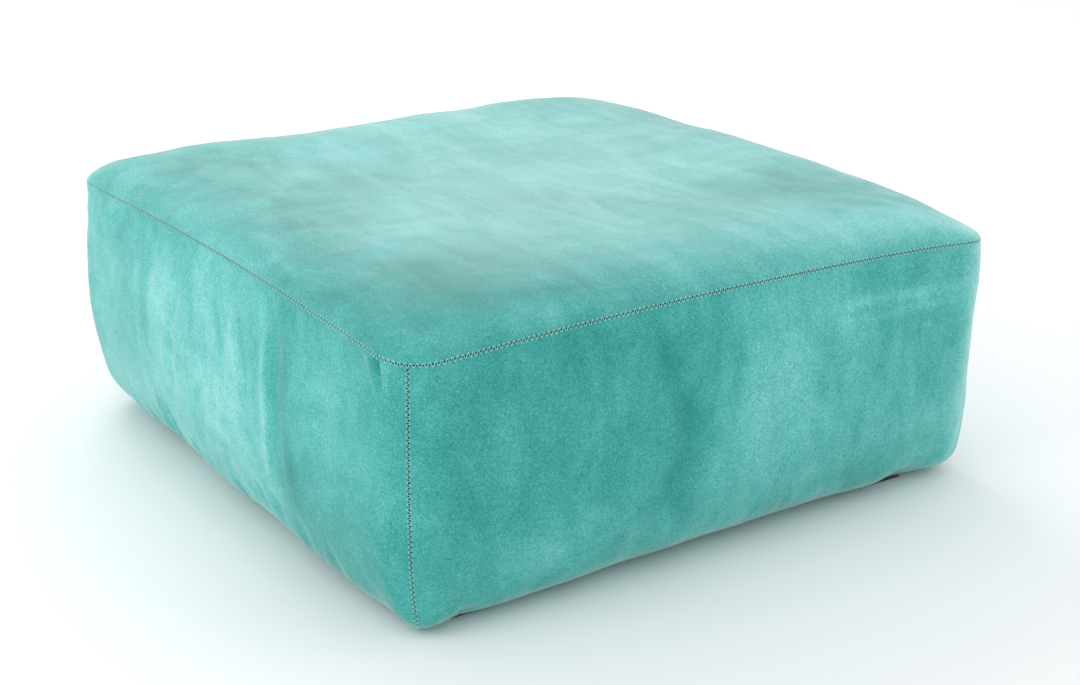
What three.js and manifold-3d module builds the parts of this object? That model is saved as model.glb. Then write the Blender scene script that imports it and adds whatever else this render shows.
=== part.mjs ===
// Square upholstered floor pouf: soft cover, foams, webbing, timber base and low feet.
// Millimetres, +Z up, origin at the centre of the footprint on the floor. -Y is the front.
import * as THREE from 'three';
import { mergeVertices } from 'three/addons/utils/BufferGeometryUtils.js';
import Module from 'manifold-3d';

const wasm = await Module();
wasm.setup();

// ---------------------------------------------------------------- driving dimensions
const SEAM_SIZE = 960;          // width of the square top seam, across the flats
const HALF = SEAM_SIZE / 2;
const SEAM_RADIUS = 62;         // corner radius of the seam in plan
const SEAM_CORNER_Z = 359;      // seam height at the corners
const SEAM_BOW = 10;            // rise of the seam towards the middle of each side
const SEAM_PULL = 7;            // how far the seam pulls in at the middle of each side
const CROWN = 41;               // height that the top panel swells above its seam
const CROWN_DIP = -18;          // settled dip in the middle of the crown
const BULGE_MID = 38;           // outward swell of a side at its middle
const BULGE_CORNER = 10;        // outward swell at the corners
const BASE_INSET = 17;          // how far the base of the sides stands inside the seam
const BASE_RADIUS_MID = 49;     // rounding under the middle of a side
const BASE_RADIUS_CORNER = 32;  // rounding under a corner
const BASE_PLAN_RADIUS = 58;    // corner radius in plan at the base
const BASE_Z = 5.8;             // lowest line of the cover above the floor
const CLOTH = 3;                // cover cloth with its bonded backing
const SEAM_GAP = 1;             // gap between two panel edges at a seam
const TAPE_HALF = 10;           // half the width of a seam tape
const TAPE = 1;                 // tape thickness
const STITCH_HALF = 4.5;        // half the width of the zigzag stitch
const STITCH = 0.9;             // thread height
const GAP = 0.4;                // clearance between neighbouring pieces
const HEM_INNER = 367;          // half the opening inside the turned-under hem

const FRAME_HALF = 414;         // outside of the timber frame
const RAIL_WIDTH = 42;
const RAIL_HEIGHT = 45;
const RAIL_Z = BASE_Z + CLOTH + 0.6;
const RAIL_CHAMFER = 12;
const CROSS_RAIL_HEIGHT = 32;
const BLOCK_LEG = 62;
const BLOCK_HEIGHT = 36;
const STRAP_WIDTH = 60;
const STRAP = 2;
const STRAP_PITCH = 140;
const STRAP_REACH = 402;
const INSULATOR = 1.5;
const CORE_HALF = 416;
const CORE_TOP = 300;
const WRAP = 10;                // fibre wrap thickness
const FOOT_SIZE = 65;
const FOOT_HEIGHT = BASE_Z - 0.3;
const FOOT_X = 352.5;           // foot centre from the middle, left and right
const FOOT_Y = 393.5;           // foot centre from the middle, front and back
const FOOT_RADIUS = 5;
const FOOT_CHAMFER = 1.2;
const SCREW_PITCH = 32;
const SCREW_R = 2;
const SCREW_HEAD_R = 4;
const SCREW_LENGTH = 28;
const DUST = 0.8;
const DUST_HALF = 396;

const TEAL = 0x50ada3;
const group = new THREE.Group();

function add(name, geometry, color, roughness, metalness = 0) {
  const mesh = new THREE.Mesh(geometry, new THREE.MeshStandardMaterial({ color, roughness, metalness }));
  mesh.name = name;
  group.add(mesh);
  return mesh;
}

// ---------------------------------------------------------------- joining and cutting
function toSolid(geometry) {
  const g = geometry.clone();
  g.deleteAttribute('normal');
  g.deleteAttribute('uv');
  const m = mergeVertices(g, 1e-4);
  return new wasm.Manifold(new wasm.Mesh({
    numProp: 3,
    vertProperties: new Float32Array(m.attributes.position.array),
    triVerts: new Uint32Array(m.index.array),
  }));
}

function fromSolid(solid) {
  const mesh = solid.getMesh();
  const g = new THREE.BufferGeometry();
  g.setAttribute('position', new THREE.BufferAttribute(new Float32Array(mesh.vertProperties), 3));
  g.setIndex(new THREE.BufferAttribute(new Uint32Array(mesh.triVerts), 1));
  return g;
}

// ---------------------------------------------------------------- the cushion's outer surface
// s runs round the outline: 0 front-left corner, 1 front-right, 2 back-right, 3 back-left.
const ARC = 0.14;               // share of each half side that the corner rounding takes
const SIDE_AXES = [[1, 0, 0, -1], [0, 1, 1, 0], [-1, 0, 0, 1], [0, -1, -1, 0]];

function outline(s, half, radius) {
  let q = ((s % 4) + 4) % 4;
  const k = Math.min(3, Math.floor(q));
  const t = 2 * (q - k) - 1;
  const a = Math.abs(t);
  const straight = half - radius;
  let u, w, nu, nw;
  if (a <= 1 - ARC) {
    u = (t / (1 - ARC)) * straight; w = half; nu = 0; nw = 1;
  } else {
    const ang = ((a - (1 - ARC)) / ARC) * Math.PI / 4;
    u = Math.sign(t) * (straight + radius * Math.sin(ang));
    w = straight + radius * Math.cos(ang);
    nu = Math.sign(t) * Math.sin(ang); nw = Math.cos(ang);
  }
  const [ax, ay, ox, oy] = SIDE_AXES[k];
  return { x: u * ax + w * ox, y: u * ay + w * oy, nx: nu * ax + nw * ox, ny: nu * ay + nw * oy, t };
}

function seamPoint(s) {
  const o = outline(s, HALF, SEAM_RADIUS);
  const pull = SEAM_PULL * (1 - o.t * o.t);
  return new THREE.Vector3(o.x - o.nx * pull, o.y - o.ny * pull, SEAM_CORNER_Z + SEAM_BOW * (1 - o.t * o.t));
}

function sidePoint(s, v) {
  const z1 = seamPoint(s).z;
  const z = BASE_Z + (z1 - BASE_Z) * v;
  const radius = SEAM_RADIUS + (BASE_PLAN_RADIUS - SEAM_RADIUS) * Math.pow(1 - v, 1.5);
  const o = outline(s, HALF - BASE_INSET * (1 - v), radius);
  const t2 = o.t * o.t, t3 = Math.abs(o.t) ** 3;
  let off = (BULGE_MID * (1 - t2) + BULGE_CORNER * t2) * Math.sin(Math.PI * Math.pow(v, 0.9));
  const rb = BASE_RADIUS_CORNER * t3 + BASE_RADIUS_MID * (1 - t3);
  const h = Math.min(1, Math.max(0, 1 - (z - BASE_Z) / rb));
  off -= rb * (1 - Math.sqrt(Math.max(0, 1 - h * h)));
  off -= SEAM_PULL * v * (1 - t2);
  return new THREE.Vector3(o.x + o.nx * off, o.y + o.ny * off, z);
}

function crownFactor(g, sx, sy) {
  const n = 7.94;
  const e = (v) => Math.pow(Math.min(1, Math.abs(v) / HALF), n);
  const f = (1 - e(g * sx)) * (1 - e(g * sy)) - (1 - e(sx)) * (1 - e(sy));
  return Math.min(1, Math.max(0, f));
}

function topPoint(s, lin) {
  const seam = seamPoint(s);
  const g = 1 - Math.pow(lin, 1.6);
  const mid = SEAM_CORNER_Z + SEAM_BOW * 0.8;
  const w = 1 - g * g;
  const z = seam.z * g * g + mid * w + CROWN * Math.pow(crownFactor(g, seam.x, seam.y), 1 / 1.93) + CROWN_DIP * w * w;
  return new THREE.Vector3(seam.x * g, seam.y * g, z);
}

// One coordinate for the whole profile: 0 at the base line, 1 at the seam, 2 at the middle of the top.
const surface = (s, u) => (u <= 1 ? sidePoint(s, Math.max(0, u)) : topPoint(s, Math.min(1, u - 1)));

function normalAt(s, u) {
  const ds = 0.004;
  const u0 = Math.max(0, u - (u < 0.05 ? 0.0004 : 0.006)), u1 = Math.min(1.97, u + (u < 0.05 ? 0.0004 : 0.006));
  const a = surface(s + ds, u).sub(surface(s - ds, u));
  const b = surface(s, u1).sub(surface(s, u0));
  if (u < 1e-6) return new THREE.Vector3(0, 0, -1);
  if (u > 1.96) return new THREE.Vector3(0, 0, 1);
  return a.cross(b).normalize();
}

function offsetPoint(s, u, off) {
  return surface(s, u).addScaledVector(normalAt(s, u), off);
}

// Profile coordinate at a signed distance along the profile from the seam (minus is down the side).
function uAt(s, d) {
  let u = 1, left = Math.abs(d);
  const step = d < 0 ? -0.0015 : 0.0015;
  let p = surface(s, u);
  while (left > 0 && u + step > 0.0 && u + step < 1.999) {
    const q = surface(s, u + step);
    const l = q.distanceTo(p);
    if (l >= left) return u + step * (left / l);
    left -= l; u += step; p = q;
  }
  return u;
}

// Shift along the outline, in s, for a distance in mm measured from a corner.
const arcShift = (mm) => (2 * mm * ARC) / (Math.PI * SEAM_RADIUS);

// Columns: distances from each corner on its rounding, then the straight run.
const CORNER_MM = [0.5, 10.5, 28];
const FLAT_T = [-(1 - ARC), -0.5, -0.17, 0.17, 0.5, 1 - ARC];
function sideColumns(k) {
  const lead = CORNER_MM.map((mm) => k + arcShift(mm));
  const flat = FLAT_T.map((t) => k + (t + 1) / 2);
  const tail = CORNER_MM.map((mm) => k + 1 - arcShift(mm)).reverse();
  return [...lead, ...flat, ...tail];
}
const ringColumns = [0, 1, 2, 3].flatMap(sideColumns);

// ---------------------------------------------------------------- solids from grids of points
function geometryFrom(points, faces) {
  const pos = new Float32Array(points.length * 3);
  points.forEach((p, i) => p.toArray(pos, i * 3));
  const index = [];
  for (const f of faces) {
    for (let i = 1; i + 1 < f.length; i++) index.push(f[0], f[i], f[i + 1]);
  }
  const g = new THREE.BufferGeometry();
  g.setAttribute('position', new THREE.BufferAttribute(pos, 3));
  g.setIndex(index);
  g.computeVertexNormals();
  return g;
}

// Closed tube or bar: each column is a closed loop of points in one plane. Ring when closed is true.
function loft(loops, closed) {
  const n = loops[0].length, m = loops.length;
  const points = loops.flat();
  const faces = [];
  for (let i = 0; i < (closed ? m : m - 1); i++) {
    const a = i * n, b = ((i + 1) % m) * n;
    for (let j = 0; j < n; j++) {
      const j2 = (j + 1) % n;
      faces.push([a + j, b + j, b + j2, a + j2]);
    }
  }
  if (!closed) {
    faces.push(...capFaces(loops[0], 0, false));
    faces.push(...capFaces(loops[m - 1], (m - 1) * n, true));
  }
  return orient(geometryFrom(points, faces));
}

// Strip loops (outer row then inner row back) are capped quad by quad, so a bent section stays clean.
function capFaces(loop, base, flip) {
  const n = loop.length, out = [];
  if (n % 2 === 0) {
    for (let j = 0; j < n / 2 - 1; j++) {
      const q = [base + j, base + j + 1, base + n - 2 - j, base + n - 1 - j];
      out.push(flip ? q.reverse() : q);
    }
  } else {
    const q = loop.map((_, j) => base + j);
    out.push(flip ? q.reverse() : q);
  }
  return out;
}

function signedVolume(g) {
  const p = g.attributes.position, ix = g.index;
  const a = new THREE.Vector3(), b = new THREE.Vector3(), c = new THREE.Vector3();
  let v = 0;
  for (let i = 0; i < ix.count; i += 3) {
    a.fromBufferAttribute(p, ix.getX(i)); b.fromBufferAttribute(p, ix.getX(i + 1)); c.fromBufferAttribute(p, ix.getX(i + 2));
    v += a.dot(b.cross(c)) / 6;
  }
  return v;
}

function orient(g) {
  if (signedVolume(g) < 0) {
    const ix = g.index.array;
    for (let i = 0; i < ix.length; i += 3) { const t = ix[i + 1]; ix[i + 1] = ix[i + 2]; ix[i + 2] = t; }
    g.computeVertexNormals();
  }
  return g;
}

// Strip section of a column: outer rows, then inner rows back again.
function stripLoop(s, rows, o1, o0) {
  const outer = rows.map((u) => offsetPoint(s, u, o1));
  const inner = rows.map((u) => offsetPoint(s, u, o0)).reverse();
  return [...outer, ...inner];
}

// ---------------------------------------------------------------- cover: top panel
const TOP_MM = [0.5, 5, 10.5, 24, 50, 110, 220];
function topRows(s) {
  return [...TOP_MM.map((d) => uAt(s, d)), 1.86];
}
function domeShell(columns, rowsOf, oOut, oIn) {
  const points = [], faces = [], m = columns.length;
  const rows = columns.map(rowsOf), n = rows[0].length;
  columns.forEach((s, i) => rows[i].forEach((u) => points.push(offsetPoint(s, u, oOut))));
  columns.forEach((s, i) => rows[i].forEach((u) => points.push(offsetPoint(s, u, oIn))));
  const apex = surface(0, 2);
  points.push(apex.clone().setZ(apex.z + oOut), apex.clone().setZ(apex.z + oIn));
  const A = points.length - 2, B = points.length - 1, half = m * n;
  for (let i = 0; i < m; i++) {
    const a = i * n, b = ((i + 1) % m) * n;
    for (let j = 0; j < n - 1; j++) {
      faces.push([a + j, b + j, b + j + 1, a + j + 1]);
      faces.push([half + a + j, half + a + j + 1, half + b + j + 1, half + b + j]);
    }
    faces.push([a + n - 1, b + n - 1, A]);
    faces.push([half + b + n - 1, half + a + n - 1, B]);
    faces.push([a, half + a, half + b, b]);
  }
  return orient(geometryFrom(points, faces));
}
add('cover_top_panel', domeShell(ringColumns, (s) => topRows(s), 0, -CLOTH), TEAL, 0.9);

// ---------------------------------------------------------------- cover: side panels with hem
const BASE_V = [0, 0.008, 0.035, 0.08, 0.14, 0.26, 0.42, 0.58, 0.74, 0.86];
function sideRows(s) {
  return [...BASE_V, uAt(s, -28), uAt(s, -10.5), uAt(s, -5), uAt(s, -SEAM_GAP / 2)];
}
function hemPoint(s, z) {
  const o = outline(s, HEM_INNER, 4);
  return new THREE.Vector3(o.x, o.y, z);
}
const SIDES = ['front', 'right', 'back', 'left'];
const hemHoles = [];
for (const sx of [-1, 1]) for (const sy of [-1, 1]) for (const d of [-1, 1]) {
  hemHoles.push([sx * FOOT_X + d * SCREW_PITCH / 2, sy * FOOT_Y]);
}
function pillar(x, y, radius, z0, z1) {
  const g = new THREE.CylinderGeometry(radius, radius, z1 - z0, 8).rotateX(Math.PI / 2);
  return toSolid(g.translate(x, y, (z0 + z1) / 2));
}
SIDES.forEach((name, k) => {
  const loops = sideColumns(k).map((s) => {
    const rows = sideRows(s);
    const loop = stripLoop(s, rows, 0, -CLOTH);
    return [hemPoint(s, BASE_Z), ...loop, hemPoint(s, BASE_Z + CLOTH)];
  });
  let solid = toSolid(loft(loops, false));
  if (k % 2 === 0) {
    const side = k === 0 ? -1 : 1;
    for (const [x, y] of hemHoles) if (Math.sign(y) === side) solid = solid.subtract(pillar(x, y, SCREW_R + 0.5, 2, 15));
  }
  add(`cover_${name}_panel`, fromSolid(solid), TEAL, 0.9);
});

// ---------------------------------------------------------------- seam tapes and zigzag stitching
function seamRing(half, o1, o0) {
  return loft(ringColumns.map((s) => stripLoop(s, [-half, 0, half].map((d) => uAt(s, d)), o1, o0)), true);
}
add('top_seam_tape', seamRing(TAPE_HALF, -CLOTH - GAP, -CLOTH - GAP - TAPE), 0x23282a, 0.95);
add('top_zigzag_stitch', seamRing(STITCH_HALF, GAP + STITCH, GAP), 0xb9c4c0, 0.8);

const CORNERS = ['front_left', 'front_right', 'back_right', 'back_left'];
function cornerStrip(k, half, u0, topGap, o1, o0) {
  const columns = [-half, -0.5, 0.5, half].map((mm) => k + arcShift(mm));
  return loft(columns.map((s) => {
    const uTop = uAt(s, -topGap);
    const rows = [...BASE_V.filter((v) => v > u0 + 0.004), uAt(s, -28)].filter((u) => u < uTop - 0.01);
    return stripLoop(s, [u0, ...rows, uTop], o1, o0);
  }), false);
}
CORNERS.forEach((name, k) => {
  add(`corner_seam_tape_${name}`, cornerStrip(k, TAPE_HALF, 0.035, TAPE_HALF + 0.6, -CLOTH - GAP, -CLOTH - GAP - TAPE), 0x23282a, 0.95);
  add(`corner_zigzag_stitch_${name}`, cornerStrip(k, STITCH_HALF, 0.035, STITCH_HALF + 0.5, GAP + STITCH, GAP), 0xb9c4c0, 0.8);
});

// ---------------------------------------------------------------- foams
const SKIN = CLOTH + GAP + TAPE + GAP;  // depth of the cloth and tape below the outer surface

function uAtHeight(s, z) {
  const z1 = seamPoint(s).z;
  return (z - BASE_Z) / (z1 - BASE_Z);
}

// Side pads fill the space between the core and the bulged side panels.
const PAD_TOP = CORE_TOP;
SIDES.forEach((name, k) => {
  const [ax, ay] = SIDE_AXES[k];
  const loops = sideColumns(k).map((s) => {
    const inner = outline(s, CORE_HALF + GAP, 4);
    const rows = [...BASE_V.slice(3, 9), uAtHeight(s, PAD_TOP)];
    const outer = rows.map((u) => offsetPoint(s, u, -SKIN - 0.4));
    const back = [...outer].reverse().map((p) => new THREE.Vector3(inner.x, inner.y, p.z));
    return [...outer, ...back].map((p) => {
      const along = p.x * ax + p.y * ay;   // draw the mitred ends in a little
      return new THREE.Vector3(p.x - ax * along * 0.0012, p.y - ay * along * 0.0012, p.z);
    });
  });
  add(`side_foam_${name}`, loft(loops, false), 0xe8e2cf, 0.95);
});

// Firm core block.
function roundedBlock(half, radius, z0, z1) {
  const shape = new THREE.Shape();
  const pts = [];
  for (let c = 0; c < 4; c++) {
    for (let i = 0; i <= 2; i++) {
      const a = (c * Math.PI) / 2 + (i * Math.PI) / 4 + Math.PI;
      const cx = [-1, 1, 1, -1][c] * (half - radius), cy = [-1, -1, 1, 1][c] * (half - radius);
      pts.push(new THREE.Vector2(cx + radius * Math.cos(a), cy + radius * Math.sin(a)));
    }
  }
  shape.setFromPoints(pts);
  return new THREE.ExtrudeGeometry(shape, { depth: z1 - z0, bevelEnabled: false }).translate(0, 0, z0);
}
const RAIL_TOP = RAIL_Z + RAIL_HEIGHT;
const STRAP_LOW = RAIL_TOP + GAP;
const STRAP_HIGH = STRAP_LOW + STRAP + 0.6;
const INSULATOR_Z = STRAP_HIGH + STRAP + GAP;
const CORE_Z = INSULATOR_Z + INSULATOR + GAP;
add('foam_core', roundedBlock(CORE_HALF, 4, CORE_Z, CORE_TOP), 0xd9c98a, 0.95);

// Crowned soft slab under the top panel.
{
  const z0 = CORE_TOP + GAP;
  const columns = ringColumns;
  const points = [], faces = [];
  const rowsOf = (s) => {
    const side = [offsetPoint(s, uAtHeight(s, z0 + 5), -SKIN - 0.5).setZ(z0), offsetPoint(s, uAtHeight(s, 318), -SKIN)];
    const top = [14, 50, 110, 220].map((d) => offsetPoint(s, uAt(s, d), -SKIN - WRAP - GAP));
    const shoulder = offsetPoint(s, uAt(s, -14), -SKIN - 1);
    return [...side, shoulder, ...top, offsetPoint(s, 1.86, -SKIN - WRAP - GAP)];
  };
  const rows = columns.map(rowsOf), n = rows[0].length, m = columns.length;
  rows.forEach((r) => points.push(...r));
  const apex = surface(0, 2);
  points.push(new THREE.Vector3(0, 0, apex.z - SKIN - WRAP - GAP), new THREE.Vector3(0, 0, z0));
  const A = points.length - 2, B = points.length - 1;
  for (let i = 0; i < m; i++) {
    const a = i * n, b = ((i + 1) % m) * n;
    for (let j = 0; j < n - 1; j++) faces.push([a + j, b + j, b + j + 1, a + j + 1]);
    faces.push([a + n - 1, b + n - 1, A]);
    faces.push([b, a, B]);
  }
  add('top_foam', orient(geometryFrom(points, faces)), 0xeee9d8, 0.95);
}

// Fibre layer between the top slab and the cover.
add('fibre_wrap_top', domeShell(ringColumns, (s) => [14, 50, 110, 220].map((d) => uAt(s, d)).concat(1.86), -SKIN, -SKIN - WRAP), 0xf4f3ee, 0.98);

// ---------------------------------------------------------------- timber base
function bar(x0, x1, y0, y1, z0, z1) {
  return toSolid(new THREE.BoxGeometry(x1 - x0, y1 - y0, z1 - z0).translate((x0 + x1) / 2, (y0 + y1) / 2, (z0 + z1) / 2));
}
// Wedge that takes the arris off the lower outer edge of a rail on the front, turned for the others.
function edgeWedge(angle) {
  const shape = new THREE.Shape([
    new THREE.Vector2(-FRAME_HALF - 1, RAIL_Z - 1),
    new THREE.Vector2(-FRAME_HALF + RAIL_CHAMFER + 1, RAIL_Z - 1),
    new THREE.Vector2(-FRAME_HALF - 1, RAIL_Z + RAIL_CHAMFER + 1),
  ]);
  const g = new THREE.ExtrudeGeometry(shape, { depth: 4 * FRAME_HALF, bevelEnabled: false });
  g.translate(0, 0, -2 * FRAME_HALF);
  g.rotateX(Math.PI / 2);          // profile height now stands along Z
  return toSolid(g.rotateZ(angle));
}
const wedges = [0, 1, 2, 3].map((i) => edgeWedge((i * Math.PI) / 2));
const F = FRAME_HALF, W = RAIL_WIDTH;
const rails = {
  rail_front: bar(-F, F, -F, -F + W, RAIL_Z, RAIL_TOP),
  rail_back: bar(-F, F, F - W, F, RAIL_Z, RAIL_TOP),
  rail_left: bar(-F, -F + W, -F + W + GAP, F - W - GAP, RAIL_Z, RAIL_TOP),
  rail_right: bar(F - W, F, -F + W + GAP, F - W - GAP, RAIL_Z, RAIL_TOP),
};
for (const [name, solid] of Object.entries(rails)) {
  let s = solid;
  for (const w of wedges) s = s.subtract(w);
  for (const [x, y] of hemHoles) {
    if ((name === 'rail_front' && y < 0) || (name === 'rail_back' && y > 0)) s = s.subtract(pillar(x, y, SCREW_R + 0.3, RAIL_Z - 2, SCREW_LENGTH + 4));
  }
  add(name, fromSolid(s), 0xc9a46c, 0.75);
}
add('cross_rail', new THREE.BoxGeometry(W, 2 * (F - W - GAP), CROSS_RAIL_HEIGHT)
  .translate(0, 0, RAIL_Z + CROSS_RAIL_HEIGHT / 2), 0xc9a46c, 0.75);

CORNERS.forEach((name, k) => {
  const c = F - W - GAP, l = BLOCK_LEG;
  const shape = new THREE.Shape([
    new THREE.Vector2(-c, -c), new THREE.Vector2(-c + l, -c), new THREE.Vector2(-c + l, -c + 8),
    new THREE.Vector2(-c + 8, -c + l), new THREE.Vector2(-c, -c + l),
  ]);
  const g = new THREE.ExtrudeGeometry(shape, { depth: BLOCK_HEIGHT, bevelEnabled: false });
  add(`corner_block_${name}`, g.translate(0, 0, RAIL_Z + 2).rotateZ((k * Math.PI) / 2), 0xbf9860, 0.8);
});

// ---------------------------------------------------------------- elastic webbing, woven over and under
function strap(index, along) {
  // Height profile along the strap, then swept across its width.
  const offsets = [-2, -1, 0, 1, 2].map((i) => i * STRAP_PITCH);
  const line = [[-STRAP_REACH, STRAP_LOW]];
  offsets.forEach((c, j) => {
    const up = (index + j + (along === 'x' ? 0 : 1)) % 2 === 0;
    const z = up ? STRAP_HIGH : STRAP_LOW;
    line.push([c - STRAP_WIDTH / 2 - 8, z], [c + STRAP_WIDTH / 2 + 8, z]);
  });
  line.push([STRAP_REACH, STRAP_LOW]);
  // Flat on the rails before the first rise.
  line.splice(1, 0, [-FRAME_HALF + RAIL_WIDTH - 6, STRAP_LOW]);
  line.splice(line.length - 1, 0, [FRAME_HALF - RAIL_WIDTH + 6, STRAP_LOW]);
  const shape = new THREE.Shape([
    ...line.map(([x, z]) => new THREE.Vector2(x, z)),
    ...[...line].reverse().map(([x, z]) => new THREE.Vector2(x, z + STRAP)),
  ]);
  const g = new THREE.ExtrudeGeometry(shape, { depth: STRAP_WIDTH, bevelEnabled: false });
  g.translate(0, 0, -STRAP_WIDTH / 2).rotateX(Math.PI / 2);
  if (along === 'y') g.rotateZ(Math.PI / 2);
  const c = (index - 2) * STRAP_PITCH;
  return g.translate(along === 'x' ? 0 : c, along === 'x' ? c : 0, 0);
}
for (let i = 0; i < 5; i++) {
  add(`webbing_x_${i + 1}`, strap(i, 'x'), 0x2c3136, 0.85);
  add(`webbing_y_${i + 1}`, strap(i, 'y'), 0x2c3136, 0.85);
}
add('webbing_insulator', roundedBlock(CORE_HALF - 6, 6, INSULATOR_Z, INSULATOR_Z + INSULATOR), 0x8b8d8a, 0.98);

// ---------------------------------------------------------------- dust cover, notched round the feet
{
  const h = DUST_HALF, nx = FOOT_X - FOOT_SIZE / 2 - 2, ny = FOOT_Y - FOOT_SIZE / 2 - 2;
  const pts = [[nx, -h], [nx, -ny], [h, -ny], [h, ny], [nx, ny], [nx, h], [-nx, h], [-nx, ny], [-h, ny], [-h, -ny], [-nx, -ny], [-nx, -h]];
  const shape = new THREE.Shape(pts.map(([x, y]) => new THREE.Vector2(x, y)));
  const g = new THREE.ExtrudeGeometry(shape, { depth: DUST, bevelEnabled: false });
  add('dust_cover', g.translate(0, 0, BASE_Z - GAP - DUST), 0x17191b, 0.95);
}

// ---------------------------------------------------------------- feet and their screws
function footSolid() {
  const h = FOOT_SIZE / 2, c = FOOT_CHAMFER;
  const ring = (half, r, z) => {
    const out = [];
    for (let q = 0; q < 4; q++) {
      for (let i = 0; i <= 2; i++) {
        const a = Math.PI + (q * Math.PI) / 2 + (i * Math.PI) / 4;
        out.push(new THREE.Vector3([-1, 1, 1, -1][q] * (half - r) + r * Math.cos(a), [-1, -1, 1, 1][q] * (half - r) + r * Math.sin(a), z));
      }
    }
    return out;
  };
  const layers = [ring(h - c, FOOT_RADIUS - c, 0), ring(h, FOOT_RADIUS, c), ring(h, FOOT_RADIUS, FOOT_HEIGHT)];
  const n = layers[0].length, points = layers.flat(), faces = [];
  for (let l = 0; l < 2; l++) for (let j = 0; j < n; j++) faces.push([l * n + j, l * n + (j + 1) % n, (l + 1) * n + (j + 1) % n, (l + 1) * n + j]);
  faces.push(layers[0].map((_, j) => n - 1 - j), layers[2].map((_, j) => 2 * n + j));
  return toSolid(orient(geometryFrom(points, faces)));
}
function lathe(profile, segments = 10) {
  const g = new THREE.LatheGeometry(profile.map(([r, z]) => new THREE.Vector2(r, z)), segments);
  return g.rotateX(Math.PI / 2);
}
const HEAD_Z = 1.0, HEAD_DEPTH = 2.2;
const sink = toSolid(lathe([[0, -1], [SCREW_HEAD_R + 0.4, -1], [SCREW_HEAD_R + 0.4, HEAD_Z + 0.1], [SCREW_R + 0.4, HEAD_Z + HEAD_DEPTH + 0.1], [SCREW_R + 0.4, FOOT_HEIGHT + 1], [0, FOOT_HEIGHT + 1]]));
let foot = footSolid();
for (const d of [-1, 1]) foot = foot.subtract(sink.translate([d * SCREW_PITCH / 2, 0, 0]));
const recessA = toSolid(new THREE.BoxGeometry(3.6, 0.8, 1.6).translate(0, 0, HEAD_Z));
const recessB = toSolid(new THREE.BoxGeometry(0.8, 3.6, 1.6).translate(0, 0, HEAD_Z));
const screw = toSolid(lathe([[0, HEAD_Z], [SCREW_HEAD_R, HEAD_Z], [SCREW_HEAD_R, HEAD_Z + 0.3], [SCREW_R, HEAD_Z + HEAD_DEPTH], [SCREW_R, SCREW_LENGTH - 3], [0.4, SCREW_LENGTH], [0, SCREW_LENGTH]], 8))
  .subtract(recessA.add(recessB));
const places = { front_left: [-1, -1], front_right: [1, -1], back_right: [1, 1], back_left: [-1, 1] };
for (const [name, [sx, sy]] of Object.entries(places)) {
  add(`foot_${name}`, fromSolid(foot), 0x16181a, 0.45).position.set(sx * FOOT_X, sy * FOOT_Y, 0);
  [-1, 1].forEach((d, i) => {
    add(`foot_screw_${name}_${i + 1}`, fromSolid(screw), 0xb8babd, 0.35, 0.9)
      .position.set(sx * FOOT_X + d * SCREW_PITCH / 2, sy * FOOT_Y, 0);
  });
}

export default group;
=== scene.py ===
import math

import bmesh
import bpy
import numpy as np
from mathutils import Matrix, Vector


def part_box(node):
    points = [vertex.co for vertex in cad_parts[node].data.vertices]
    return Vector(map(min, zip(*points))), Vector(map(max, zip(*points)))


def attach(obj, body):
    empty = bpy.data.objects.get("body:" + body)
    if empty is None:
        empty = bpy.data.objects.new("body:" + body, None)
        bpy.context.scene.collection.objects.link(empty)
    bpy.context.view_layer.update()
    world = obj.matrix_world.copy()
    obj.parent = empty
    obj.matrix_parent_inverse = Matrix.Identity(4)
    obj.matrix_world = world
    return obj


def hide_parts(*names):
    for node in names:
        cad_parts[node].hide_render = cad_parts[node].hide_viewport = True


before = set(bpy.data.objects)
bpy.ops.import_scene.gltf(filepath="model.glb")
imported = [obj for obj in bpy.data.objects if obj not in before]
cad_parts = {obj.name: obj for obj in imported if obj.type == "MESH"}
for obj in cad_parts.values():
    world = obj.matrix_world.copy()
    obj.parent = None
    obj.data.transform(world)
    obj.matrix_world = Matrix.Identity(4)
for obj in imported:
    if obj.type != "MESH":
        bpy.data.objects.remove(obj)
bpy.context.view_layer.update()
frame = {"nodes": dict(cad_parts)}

# =====================================================================================================
# The pouf's shape: one smooth surface, in metres. s runs round the outline: 0 front-left corner,
# 1 front-right, 2 back-right, 3 back-left. v climbs a side from 0 (base) to 1 (top seam).
# g shrinks from 1 (seam) to 0 (middle of the top).
# =====================================================================================================
# GEOMETRY-BEGIN
U = 0.96
HALF = 0.5 * U
ARC = 0.14
ZB = 0.006 * U
SEAM_R = 0.06373 * U
SEAM_Z = U * np.array([0.37771, 0.37616, 0.36496, 0.37139])
BOW, PULL = 0.01104 * U, 0.00699 * U
BULGE_M, BULGE_C = 0.03992 * U, 0.01228 * U
BASE_RM = 0.0502 * U
BASE_RC = U * np.array([0.02541, 0.03595, 0.0335, 0.06900])      # rounding under each corner
BASE_PC = U * np.array([0.01586, 0.008, 0.030, 0.008])      # extra plan radius at each corner's base
INB = U * np.array([0.0235, 0.00638, 0.0120, 0.02484])  # inset of the base, side by side
CROWN, DIP, CN, CM = 0.04243 * U, -0.0186 * U, 8.07917, 1.94286
HEM_IN = 0.367
CLOTH = 0.003

_sg = np.arange(1600) * (4 / 1600)


def _smooth_ring(f, sigma):
    k = np.fft.rfftfreq(len(f), d=4 / len(f))
    return np.fft.irfft(np.fft.rfft(f) * np.exp(-2 * (np.pi * k * sigma) ** 2), len(f))


def _ring(tab, s):
    return np.interp(np.mod(s, 4), np.append(_sg, 4.0), np.append(tab, tab[0]))


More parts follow.
